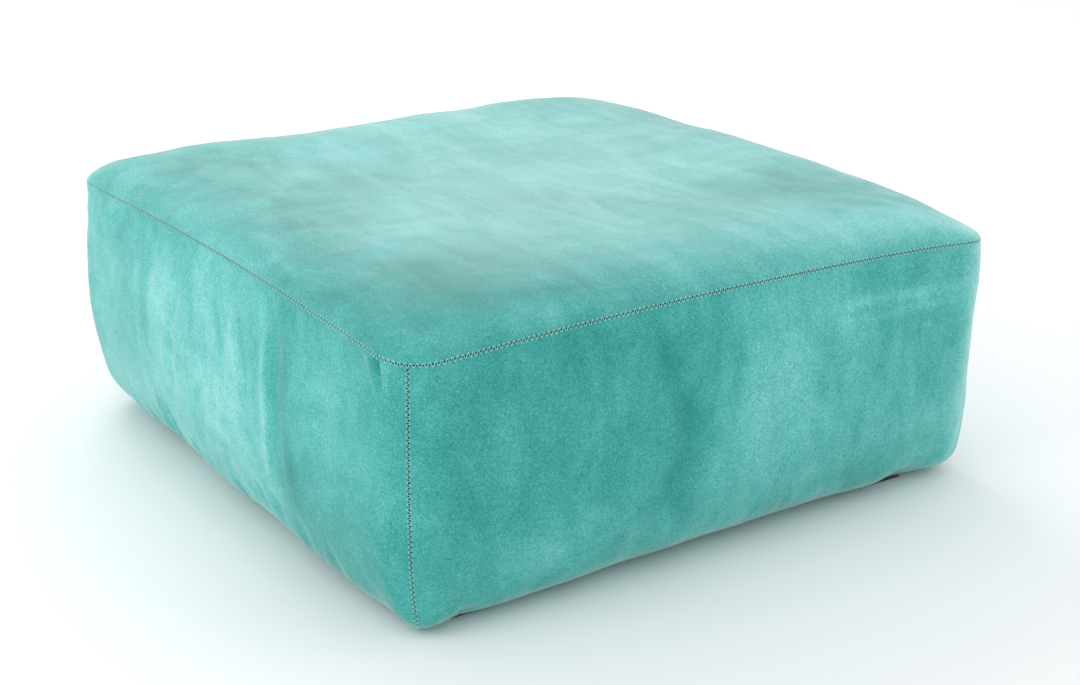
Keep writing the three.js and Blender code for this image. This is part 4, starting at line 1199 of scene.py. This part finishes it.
def build_side(k):
    P, S, V, d_top, d_side, hemq = side_grid(k, STEP)
    dist = np.minimum(d_top, d_side)
    N = -grid_normals(P)
    h = displace_mm(P, dist, np.where(d_top < d_side, S * 960.0, P[..., 2] * 1000))
    h = (h + SIM_SIDE * sim_side(k, S, V) * sstep(dist, 0.002, 0.016)) * 0.001
    # the base lies flat: no folds on the hem, easing in over the rounding
    low = sstep(P[..., 2], ZB + 0.0005, ZB + 0.020)
    h = h * low
    w = (1 - sstep(d_top, 0.001, 0.010)) * (hemq == 0)
    near = w > 0
    shift = np.zeros_like(P)
    _, _, _, ts, _, _, th = seam_frame(S[near])
    shift[near] = ts * (th * w[near])[:, None]
    base = P + N * h[..., None]
    base[..., 2] = np.maximum(base[..., 2], ZB)
    rim = lip(np.minimum(d_top, d_side))
    rim = np.where(hemq > 0, lip(d_side), rim)
    outer = base - N * rim[..., None]
    inner = base - (CLOTH * pinched(P))[..., None] * N + CLOTH * shift
    ob = sheet_object(f"cover_{SIDES[k]}_panel_cloth", outer, inner,
                      {"nap_and_painted_light": nap_and_painted_light_at(P), "seam": seam_near(np.where(hemq > 0, d_side, dist))})
    paint(ob, M_FAB)
    return ob


def thread_cross(q):
    """0..1 across the seam: weights of top point, seam point and side point."""
    return (1 - q) ** 2, 2 * q * (1 - q), q * q


def build_top_stitch():
    n_s = 2000
    ss = np.arange(n_s + 1) * (4 / n_s)
    c = seam_pt(ss)
    L = np.concatenate([[0], np.cumsum(np.linalg.norm(np.diff(c, axis=0), axis=1))])
    pitch = 0.0071
    count = int(round(L[-1] / pitch))
    per = 12
    m = count * per
    lm = np.arange(m) / m * L[-1]
    r = np.random.default_rng(5)
    wob = np.interp(np.arange(m), np.arange(0, m + 6, 6), r.normal(0, 0.00016, m // 6 + 2)[:len(np.arange(0, m + 6, 6))])
    s = np.interp(lm + wob, L, ss)
    ph = (np.arange(m) % per) / per
    tri = np.abs(2 * ph - 1) * 2 - 1                      # -1..1 across the seam
    amp = 1 + np.interp(np.arange(m), np.arange(0, m + per, per), r.normal(0, 0.05, m // per + 2)[:len(np.arange(0, m + per, per))])
    q = 0.5 + 0.5 * tri * np.minimum(amp, 1.12)
    q = np.clip(q, -0.06, 1.06)
    half = 0.0035
    A = top_pt(s, g_at(s, np.full(m, half)))
    B = side_pt(s, v_at(s, np.full(m, half)))
    c, T, tt, ts, nt, ns, th = seam_frame(s)
    dipf = np.clip((np.abs(tri) - 0.72) / 0.28, 0, 1) ** 2
    lift = 0.00034 - 0.0011 * dipf
    a, b, d = thread_cross(np.clip(q, 0, 1))
    P = a[:, None] * A + b[:, None] * c + d[:, None] * B
    Nn = (1 - np.clip(q, 0, 1))[:, None] * nt + np.clip(q, 0, 1)[:, None] * ns
    Nn /= np.linalg.norm(Nn, axis=1, keepdims=True)
    P = P + Nn * lift[:, None]
    ob = tube("top_zigzag_thread", P, Nn, 0.00050, 6, closed=True)
    paint(ob, M_THREAD)
    return ob


def build_corner_stitch(c):
    pitch, per, half = 0.0071, 12, 0.0032
    s0 = float(c)
    Lc = float(side_len(np.array(s0)))
    start, end = 0.0062, Lc - 0.004
    count = int((end - start) / pitch)
    m = count * per + 1
    r = np.random.default_rng(40 + c)
    d = start + np.arange(m) / per * pitch + r.normal(0, 0.00008, m)
    v = v_at(np.full(m, s0), d)
    ph = (np.arange(m) % per) / per
    tri = np.abs(2 * ph - 1) * 2 - 1
    off = tri * half
    s = np.where(off >= 0, s_from_corner(c, 1, v, np.abs(off)), s_from_corner(c, -1, v, np.abs(off)))
    P = side_pt(s, v)
    Pu, Pd = side_pt(s, np.clip(v + 0.004, 0, 1)), side_pt(s, np.clip(v - 0.004, 0, 1))
    Ts = side_pt(s + 0.0015, v) - side_pt(s - 0.0015, v)
    N = np.cross(Ts, Pu - Pd)
    N /= np.linalg.norm(N, axis=1, keepdims=True)
    dipf = np.clip((np.abs(tri) - 0.72) / 0.28, 0, 1) ** 2
    P = P + N * (0.00022 - 0.0011 * dipf)[:, None]
    ob = tube(f"corner_zigzag_thread_{CORNERS[c]}", P, N, 0.00048, 6)
    paint(ob, M_THREAD)
    return ob


def closed_loft(name, loops, smooth=True, ring=False):
    """loops: (M, K, 3), each a closed section; capped at both ends unless it runs round."""
    M, K = loops.shape[:2]
    q = grid_quads(M, K, close_i=ring, close_j=True)
    co = loops.reshape(-1, 3)
    c = co[q[0]]
    out = c.mean(0) - loops[0].mean(0)
    nrm = np.cross(c[1] - c[0], c[2] - c[0])
    flip = nrm @ out < 0
    if flip:
        q = q[:, ::-1]
    me_ob = new_object(name, co, q, smooth=smooth)
    if not ring:
        bm = bmesh.new()
        bm.from_mesh(me_ob.data)
        bm.verts.ensure_lookup_table()
        for ids in ([i for i in range(K)], [(M - 1) * K + i for i in range(K)]):
            try:
                bm.faces.new([bm.verts[i] for i in ids])
            except ValueError:
                pass
        bmesh.ops.recalc_face_normals(bm, faces=bm.faces)
        bm.to_mesh(me_ob.data)
        bm.free()
    return me_ob


def build_top_tape():
    n = 700
    s = np.arange(n) * (4 / n)
    c, T, tt, ts, nt, ns, th = seam_frame(s)
    cols = []
    for depth in (0.0034, 0.0042):
        row = []
        for d in (0.0072, 0.0052, 0.0032, 0.0012):
            w = 1 - sstep(np.array(d), 0.001, 0.010)
            row.append(top_pt(s, g_at(s, np.full(n, d))) - depth * nt + depth * tt * (th * w)[:, None])
        row.append(c - depth * nt + depth * tt * th[:, None])
        for d in (0.0012, 0.0032, 0.0052, 0.0072):
            w = 1 - sstep(np.array(d), 0.001, 0.010)
            row.append(side_pt(s, v_at(s, np.full(n, d))) - depth * ns + depth * ts * (th * w)[:, None])
        cols.append(row)
    loop = np.stack(cols[0] + cols[1][::-1], 1)
    ob = closed_loft("top_seam_tape_ribbon", loop, ring=True)
    paint(ob, M_TAPE)
    return ob


def side_normal(s, v):
    Pu, Pd = side_pt(s, np.clip(v + 0.004, 0, 1)), side_pt(s, np.clip(v - 0.004, 0, 1))
    Ts = side_pt(s + 0.0015, v) - side_pt(s - 0.0015, v)
    N = np.cross(Ts, Pu - Pd)
    return N / np.maximum(np.linalg.norm(N, axis=-1, keepdims=True), 1e-12)


def build_corner_tape(c):
    Lc = float(side_len(np.array(float(c))))
    # the back left corner is drawn in over the frame, so its tape stops above the timber
    d = np.linspace(0.0092, Lc - (0.050 if c == 3 else 0.006), 90)
    v = v_at(np.full(len(d), float(c)), d)
    cols = []
    for depth in (0.0034, 0.0042):
        row = []
        for o in (-0.0072, -0.0036, -0.0012, 0.0012, 0.0036, 0.0072):
            s = s_from_corner(c, 1 if o > 0 else -1, v, np.full(len(d), abs(o)))
            row.append(side_pt(s, v) - depth * side_normal(s, v))
        cols.append(row)
    loop = np.stack(cols[0] + cols[1][::-1], 1)
    ob = closed_loft(f"corner_seam_tape_ribbon_{CORNERS[c]}", loop)
    paint(ob, M_TAPE)
    return ob


# =====================================================================================================
# Inside: foams, wadding, dust cloth
# =====================================================================================================
def v_of_z(s, z):
    return np.clip((z - ZB) / (_ring(_ZTAB, s) - ZB), 0, 1)


def side_hollow(s, v, P):
    """Hollows of the cover (metres, never above 0) that the padding behind it has to follow."""
    out = displace_mm(P, np.full(s.shape, 1.0))
    for ds in (-0.0045, 0.0, 0.0045):
        Q = side_pt(s + ds, v)
        out = np.minimum(out, displace_mm(Q, np.full(s.shape, 1.0)))
    if SIM is not None:
        k = np.minimum(np.floor(np.mod(s, 4)).astype(int), 3)
        f = [SIM_SIDE * sample_cubic(SIM[j + 1], np.clip(np.mod(s, 4) - j, 0, 1), 1 - v) for j in range(4)]
        out = out + np.minimum(np.select([k == j for j in range(4)], f), 0)
    tuck = ((P[..., 0] + 0.480) / 0.05) ** 2 + ((P[..., 1] + 0.423) / 0.016) ** 2 + ((P[..., 2] - 0.346) / 0.030) ** 2
    return np.minimum(out, 0) * 0.001 - 0.0022 * np.exp(-tuck)


def build_side_foam(k):
    n = 110
    s = k + np.linspace(0.012, 0.988, n)
    zs = np.linspace(0.0645, 0.2990, 40)
    S, Z = np.meshgrid(s, zs, indexing="ij")
    V = v_of_z(S, Z)
    P = side_pt(S, V)
    N = side_normal(S, V)
    h = side_hollow(S, V, P)
    fade = sstep(np.minimum(S - k, k + 1 - S), 0.0, 0.03)
    outer = P + N * (np.minimum(h, 0) * fade - 0.0050 - 0.0012)[..., None] 
    # the cut edges of the foam are slightly rounded
    edge = np.minimum(np.minimum(Z - zs[0], zs[-1] - Z), 0.004) / 0.004
    outer = outer - N * (0.003 * (1 - np.sqrt(np.clip(1 - (1 - edge) ** 2, 0, 1))))[..., None]
    a, o = AXES[k], OUT[k]
    w = outer[..., 0] * o[0] + outer[..., 1] * o[1]
    u = outer[..., 0] * a[0] + outer[..., 1] * a[1]
    wi = 0.4175
    ui = u * wi / np.maximum(w, 1e-6) * 0.9985
    inner = outer.copy()
    inner[..., 0] = a[0] * ui + o[0] * wi
    inner[..., 1] = a[1] * ui + o[1] * wi
    ob = sheet_object(f"side_foam_{SIDES[k]}_pad", outer, inner)
    paint(ob, M_SIDE)
    return ob


def radial_top(g_rows, depth, n_s):
    """Closed rings under the top at one depth, from the edge inwards to a middle point."""
    s = np.arange(n_s) * (4 / n_s)
    rows = []
    for d in g_rows:
        g = g_at(s, np.full(n_s, d))
        P = top_pt(s, g)
        Pe = top_pt(s, np.clip(g - 0.004, 0, 1)) - top_pt(s, np.clip(g + 0.004, 0, 1))
        Ts = top_pt(s + 0.002, g) - top_pt(s - 0.002, g)
        N = np.cross(Ts, Pe)
        N /= np.maximum(np.linalg.norm(N, axis=1, keepdims=True), 1e-12)
        h = np.minimum((displace_mm(P, np.full(n_s, 1.0)) + SIM_TOP * sim_top(s, g)) * 0.001, 0)
        rows.append(P + N * (h - depth)[:, None])
    return rows, s


def cap_rings(name, rows, top_mid, bottom_mid):
    """rows: list of closed rings from the bottom middle round to the top middle."""
    n = len(rows[0])
    co = np.concatenate([np.concatenate(rows), [top_mid, bottom_mid]])
    q = grid_quads(len(rows), n, close_j=True)
    a, b = len(co) - 2, len(co) - 1
    last, t = (len(rows) - 1) * n, []
    for j in range(n):
        t.append([last + j, last + (j + 1) % n, a])
        t.append([(j + 1) % n, j, b])
    ob = new_object(name, co, q, t)
    bm = bmesh.new()
    bm.from_mesh(ob.data)
    bmesh.ops.recalc_face_normals(bm, faces=bm.faces)
    bm.to_mesh(ob.data)
    bm.free()
    return ob


def build_top_foam():
    n = 360
    depth = CLOTH + 0.0018 + 0.0100 + 0.0008
    ds = [0.013, 0.018, 0.026, 0.04] + list(np.linspace(0.06, 0.44, 26))
    tops, s = radial_top(ds, depth, n)
    z0 = 0.3010
    rows = []
    for z, inset in ((z0, 0.006), (z0 + 0.0012, 0.002), (z0 + 0.004, 0.0)):
        v = v_of_z(s, np.full(n, z))
        P = side_pt(s, v) - side_normal(s, v) * (0.0068 + inset)
        P[:, 2] = z
        rows.append(P)
    for z in np.linspace(0.310, 0.338, 4):
        v = v_of_z(s, np.full(n, z))
        P = side_pt(s, v)
        rows.append(P + side_normal(s, v) * (side_hollow(s, v, P) - 0.0070)[:, None])
    # shoulder between the side and the top
    low = rows[-1]
    high = tops[0]
    mid = (low + high) / 2 + 0.0016 * (low - low.mean(0)) / np.maximum(np.linalg.norm(low - low.mean(0), axis=1, keepdims=True), 1e-9) + np.array([0, 0, 0.0004])
    rows.append(mid)
    rows += tops
    apex = top_pt(np.array(0.0), np.array(0.0)) - np.array([0, 0, depth + 0.0012])
    inner = [r for r in rows]
    ob = cap_rings("top_foam_slab", inner, apex, np.array([0, 0, z0]))
    paint(ob, M_TOPF)
    return ob


def build_wrap():
    n = 360
    ds = [0.0125, 0.018, 0.026, 0.04] + list(np.linspace(0.06, 0.44, 24))
    up, s = radial_top(ds, CLOTH + 0.0016, n)
    dn, _ = radial_top([0.0145] + ds[1:], CLOTH + 0.0016 + 0.0098, n)
    r = np.random.default_rng(3)
    lump = 0.0006
    up = [u - np.array([0, 0, 1]) * (lump * (1 + soft_noise(u, 21, 0.05, 2)))[:, None] for u in up]
    edge = (up[0] + dn[0]) / 2 + 0.0006 * (up[0] - up[0].mean(0)) / np.linalg.norm(up[0] - up[0].mean(0), axis=1, keepdims=True)
    rows = dn[::-1] + [edge] + up
    apex = top_pt(np.array(0.0), np.array(0.0))
    ob = cap_rings("fibre_wrap_top_sheet", rows, apex - np.array([0, 0, CLOTH + 0.0022]), apex - np.array([0, 0, CLOTH + 0.0114]))
    paint(ob, M_FIBRE)
    return ob


def build_core():
    lo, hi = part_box("foam_core")
    n = 40
    t = np.linspace(-1, 1, n)
    bm = bmesh.new()
    bmesh.ops.create_cube(bm, size=1.0)
    bmesh.ops.scale(bm, vec=(hi[0] - lo[0], hi[1] - lo[1], hi[2] - lo[2]), verts=bm.verts)
    bmesh.ops.translate(bm, vec=((hi[0] + lo[0]) / 2, (hi[1] + lo[1]) / 2, (hi[2] + lo[2]) / 2), verts=bm.verts)
    bmesh.ops.bevel(bm, geom=list(bm.edges), offset=0.005, segments=3, affect="EDGES", profile=0.5)
    big = [e for e in bm.edges if e.calc_length() > 0.1]
    bmesh.ops.subdivide_edges(bm, edges=big, cuts=14, use_grid_fill=True)
    me = bpy.data.meshes.new("foam_core_block")
    bmesh.ops.recalc_face_normals(bm, faces=bm.faces)
    co = np.array([v.co[:] for v in bm.verts])
    c = (np.array(lo) + np.array(hi)) / 2
    dn = soft_noise(co, 8, 0.09, 2) * 0.0007
    half = (np.array(hi) - np.array(lo)) / 2
    for v, k, p in zip(bm.verts, dn, co):
        rel = (p - c) / half
        ax = int(np.argmax(np.abs(rel)))
        q = p.copy()
        q[ax] -= np.sign(rel[ax]) * (0.0007 + k)
        v.co = q
    for f in bm.faces:
        f.smooth = True
    bm.to_mesh(me)
    bm.free()
    ob = bpy.data.objects.new("foam_core_block", me)
    bpy.context.scene.collection.objects.link(ob)
    paint(ob, M_CORE)
    return ob


DUST_HALF, NOTCH_X, NOTCH_Y = 0.396, 0.318, 0.359


def build_dust():
    """Black non-woven cloth stapled under the base, notched round the feet, sagging a little."""
    step = 0.006
    def ticks(h, n1):
        inner = np.linspace(-n1, n1, int(round(2 * n1 / step)) + 1)
        outer = np.linspace(n1, h, int(np.ceil((h - n1) / step)) + 1)[1:]
        return np.concatenate([-outer[::-1], inner, outer])
    xs, ys = ticks(DUST_HALF, NOTCH_X), ticks(DUST_HALF, NOTCH_Y)
    X, Y = np.meshgrid(xs, ys, indexing="ij")
    keep = ~((np.abs(X) > NOTCH_X + 1e-9) & (np.abs(Y) > NOTCH_Y + 1e-9))
    cx, cy = (xs[:-1] + xs[1:]) / 2, (ys[:-1] + ys[1:]) / 2
    CX, CY = np.meshgrid(cx, cy, indexing="ij")
    cell = ~((np.abs(CX) > NOTCH_X) & (np.abs(CY) > NOTCH_Y))
    zt = 0.0052
    e = np.minimum(DUST_HALF - np.abs(X), DUST_HALF - np.abs(Y))
    sag = 0.0022 * np.clip(1 - (X / DUST_HALF) ** 2, 0, 1) * np.clip(1 - (Y / DUST_HALF) ** 2, 0, 1)
    P3 = np.stack([X, Y, 0 * X], -1)
    # little waves between the staples, fading inwards
    pull = 0.0007 * np.exp(-np.maximum(e, 0) / 0.045) * (1 - np.abs(np.cos(np.pi * np.where(np.abs(X) > np.abs(Y), Y, X) / 0.055)))
    z = zt - sag - pull - 0.0005 * (1 + soft_noise(P3, 31, 0.16, 3)) * sstep(e, 0.004, 0.05)
    z = np.clip(z, 0.0011, zt)
    top = np.stack([X, Y, z], -1)
    bot = top - np.array([0, 0, 0.0005])
    M, Nn = X.shape
    idx = -np.ones((M, Nn), int)
    idx[keep] = np.arange(keep.sum())
    nk = keep.sum()
    i, j = np.nonzero(cell)
    q = np.stack([idx[i, j], idx[i + 1, j], idx[i + 1, j + 1], idx[i, j + 1]], -1)
    edges = {}
    for f in q:
        for a, b in zip(f, np.roll(f, -1)):
            edges[(a, b)] = 1
    rim = [(a, b) for (a, b) in edges if (b, a) not in edges]
    rimq = [[b, a, a + nk, b + nk] for a, b in rim]
    co = np.concatenate([top[keep], bot[keep]])
    quads = np.concatenate([q, q[:, ::-1] + nk, np.array(rimq)])
    ob = new_object("dust_cover_cloth", co, quads)
    paint(ob, M_DUST)
    return ob


def build_staples():
    """Crowns of the wire staples round the dust cloth, legs driven up through it."""
    parts = []
    r = np.random.default_rng(9)
    spots = []
    for side in range(4):
        o, a = OUT[side], AXES[side]
        lim = (NOTCH_X if side in (0, 2) else NOTCH_Y) - 0.018
        for u in np.arange(-lim, lim + 1e-6, 0.055):
            c = o * (DUST_HALF - 0.009) + a * (u + r.normal(0, 0.002))
            spots.append((c, a, r.normal(0, 0.12)))
    for n, (c, a, tilt) in enumerate(spots):
        ca, sa = math.cos(tilt), math.sin(tilt)
        d = np.array([a[0] * ca - a[1] * sa, a[0] * sa + a[1] * ca, 0])
        c3 = np.array([c[0], c[1], 0.00395])
        w = 0.0052
        pts = [c3 - d * w + np.array([0, 0, 0.0048]), c3 - d * w + np.array([0, 0, 0.0006]), c3 - d * w * 0.88,
               c3 + d * w * 0.88, c3 + d * w + np.array([0, 0, 0.0006]), c3 + d * w + np.array([0, 0, 0.0048])]
        P = np.array(pts)
        N = np.tile(np.cross(d, [0, 0, 1]), (len(P), 1))
        ob = tube(f"staple_{n}", P, N, 0.00038, 5)
        parts.append(ob)
    ob = join_tubes("dust_cover_staples", parts)
    paint(ob, M_STEEL)
    return ob


import bmesh

top_ob, _ = build_top()
side_obs = [build_side(k) for k in range(4)]
stitch = build_top_stitch()
corner_stitch = [build_corner_stitch(c) for c in range(4)]
tape = build_top_tape()
corner_tape = [build_corner_tape(c) for c in range(4)]
pads = [build_side_foam(k) for k in range(4)]
slab, wrap, core = build_top_foam(), build_wrap(), build_core()
dust, staples = build_dust(), build_staples()

# =====================================================================================================
# Pieces hung on the root body; the CAD nodes they replace are hidden, and the CAD nodes that stay get their finishes
# =====================================================================================================
for ob in [top_ob, *side_obs, stitch, *corner_stitch, tape, *corner_tape, *pads, slab, wrap, core, dust, staples]:
    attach(ob, "root")
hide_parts("cover_top_panel")
for k, ob in enumerate(side_obs):
    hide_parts(f"cover_{SIDES[k]}_panel")
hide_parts("top_zigzag_stitch")
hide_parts("top_seam_tape")
for c in range(4):
    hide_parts(f"corner_zigzag_stitch_{CORNERS[c]}")
    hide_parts(f"corner_seam_tape_{CORNERS[c]}")
    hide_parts(f"side_foam_{SIDES[c]}")
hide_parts("top_foam")
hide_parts("foam_core")
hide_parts("fibre_wrap_top")
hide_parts("dust_cover")


def node_object(name):
    return frame["nodes"][name] if isinstance(frame["nodes"], dict) else bpy.data.objects[name]


FINISH = {"rail_front": M_WOODX, "rail_back": M_WOODX, "rail_left": M_WOODY, "rail_right": M_WOODY, "cross_rail": M_WOODY,
          "webbing_insulator": M_FELT}
for c in CORNERS:
    FINISH[f"corner_block_{c}"] = M_BLOCK
    FINISH[f"foot_{c}"] = M_FOOT
    for i in (1, 2):
        FINISH[f"foot_screw_{c}_{i}"] = M_STEEL
for i in range(1, 6):
    FINISH[f"webbing_x_{i}"] = FINISH[f"webbing_y_{i}"] = M_WEB
for name, mat in FINISH.items():
    ob = node_object(name)
    if not ob.material_slots:
        ob.data.materials.append(mat)
    for sl in ob.material_slots:
        sl.material = mat

# =====================================================================================================
# Floor, light, camera
# =====================================================================================================
def build_stage():
    ob = new_object("studio_floor", [(-30, -30, 0), (30, -30, 0), (30, 30, 0), (-30, 30, 0)], [(0, 1, 2, 3)], smooth=False)
    m = Mat("pale_floor")
    n = m.noise(0.8, 3)
    m.color(m.ramp(n, [(0.0, (0.90, 0.90, 0.90)), (1.0, (0.94, 0.94, 0.94))]))
    m.set(Roughness=0.9, Specular_IOR_Level=0.1)
    paint(ob, m.m)


build_stage()

world = bpy.data.worlds.new("studio")
bpy.context.scene.world = world
world.use_nodes = True
WORLD_STRENGTH = 1.0
world.node_tree.nodes["Background"].inputs[0].default_value = (0.97, 0.985, 1.0, 1)
world.node_tree.nodes["Background"].inputs[1].default_value = WORLD_STRENGTH


def area_light(name, loc, target, size, power, color=(1, 1, 1)):
    ld = bpy.data.lights.new(name, "AREA")
    ld.shape = "RECTANGLE"
    ld.size, ld.size_y = size
    ld.energy = power
    ld.color = color
    ob = bpy.data.objects.new(name, ld)
    bpy.context.scene.collection.objects.link(ob)
    ob.location = loc
    ob.rotation_euler = (Vector(target) - Vector(loc)).to_track_quat("-Z", "Y").to_euler()
    return ob


area_light("key_left", (-3.6, -0.2, 2.4), (0, 0, 0.2), (2.0, 2.0), 30)
area_light("back_top", (0.6, 3.2, 2.8), (0, 0.1, 0.3), (2.5, 1.6), 45)

cam_data = bpy.data.cameras.new("camera")
cam = bpy.data.objects.new("camera", cam_data)
bpy.context.scene.collection.objects.link(cam)
cam_data.sensor_fit = "HORIZONTAL"
cam_data.sensor_width = 36
cam_data.lens = 1888.7111 / 1080 * 36
az, el, roll = math.radians(-35.200133), math.radians(20.846592), math.radians(1.032958)
back = Vector((math.sin(az) * math.cos(el), -math.cos(az) * math.cos(el), math.sin(el)))
target = Vector((0.008212, -0.052079, 0.1632))
zc = -back
xc = zc.cross(Vector((0, 0, 1))).normalized()
yc = xc.cross(zc)
X = xc * math.cos(roll) + yc * math.sin(roll)
Y = -xc * math.sin(roll) + yc * math.cos(roll)
rot = Matrix((X, Y, back)).transposed()
cam.matrix_world = Matrix.Translation(target + back * 2.75324) @ rot.to_4x4()
cam_data.clip_end = 100
bpy.context.scene.camera = cam
bpy.context.scene.view_settings.view_transform = "Standard"
bpy.context.scene.view_settings.look = "None"
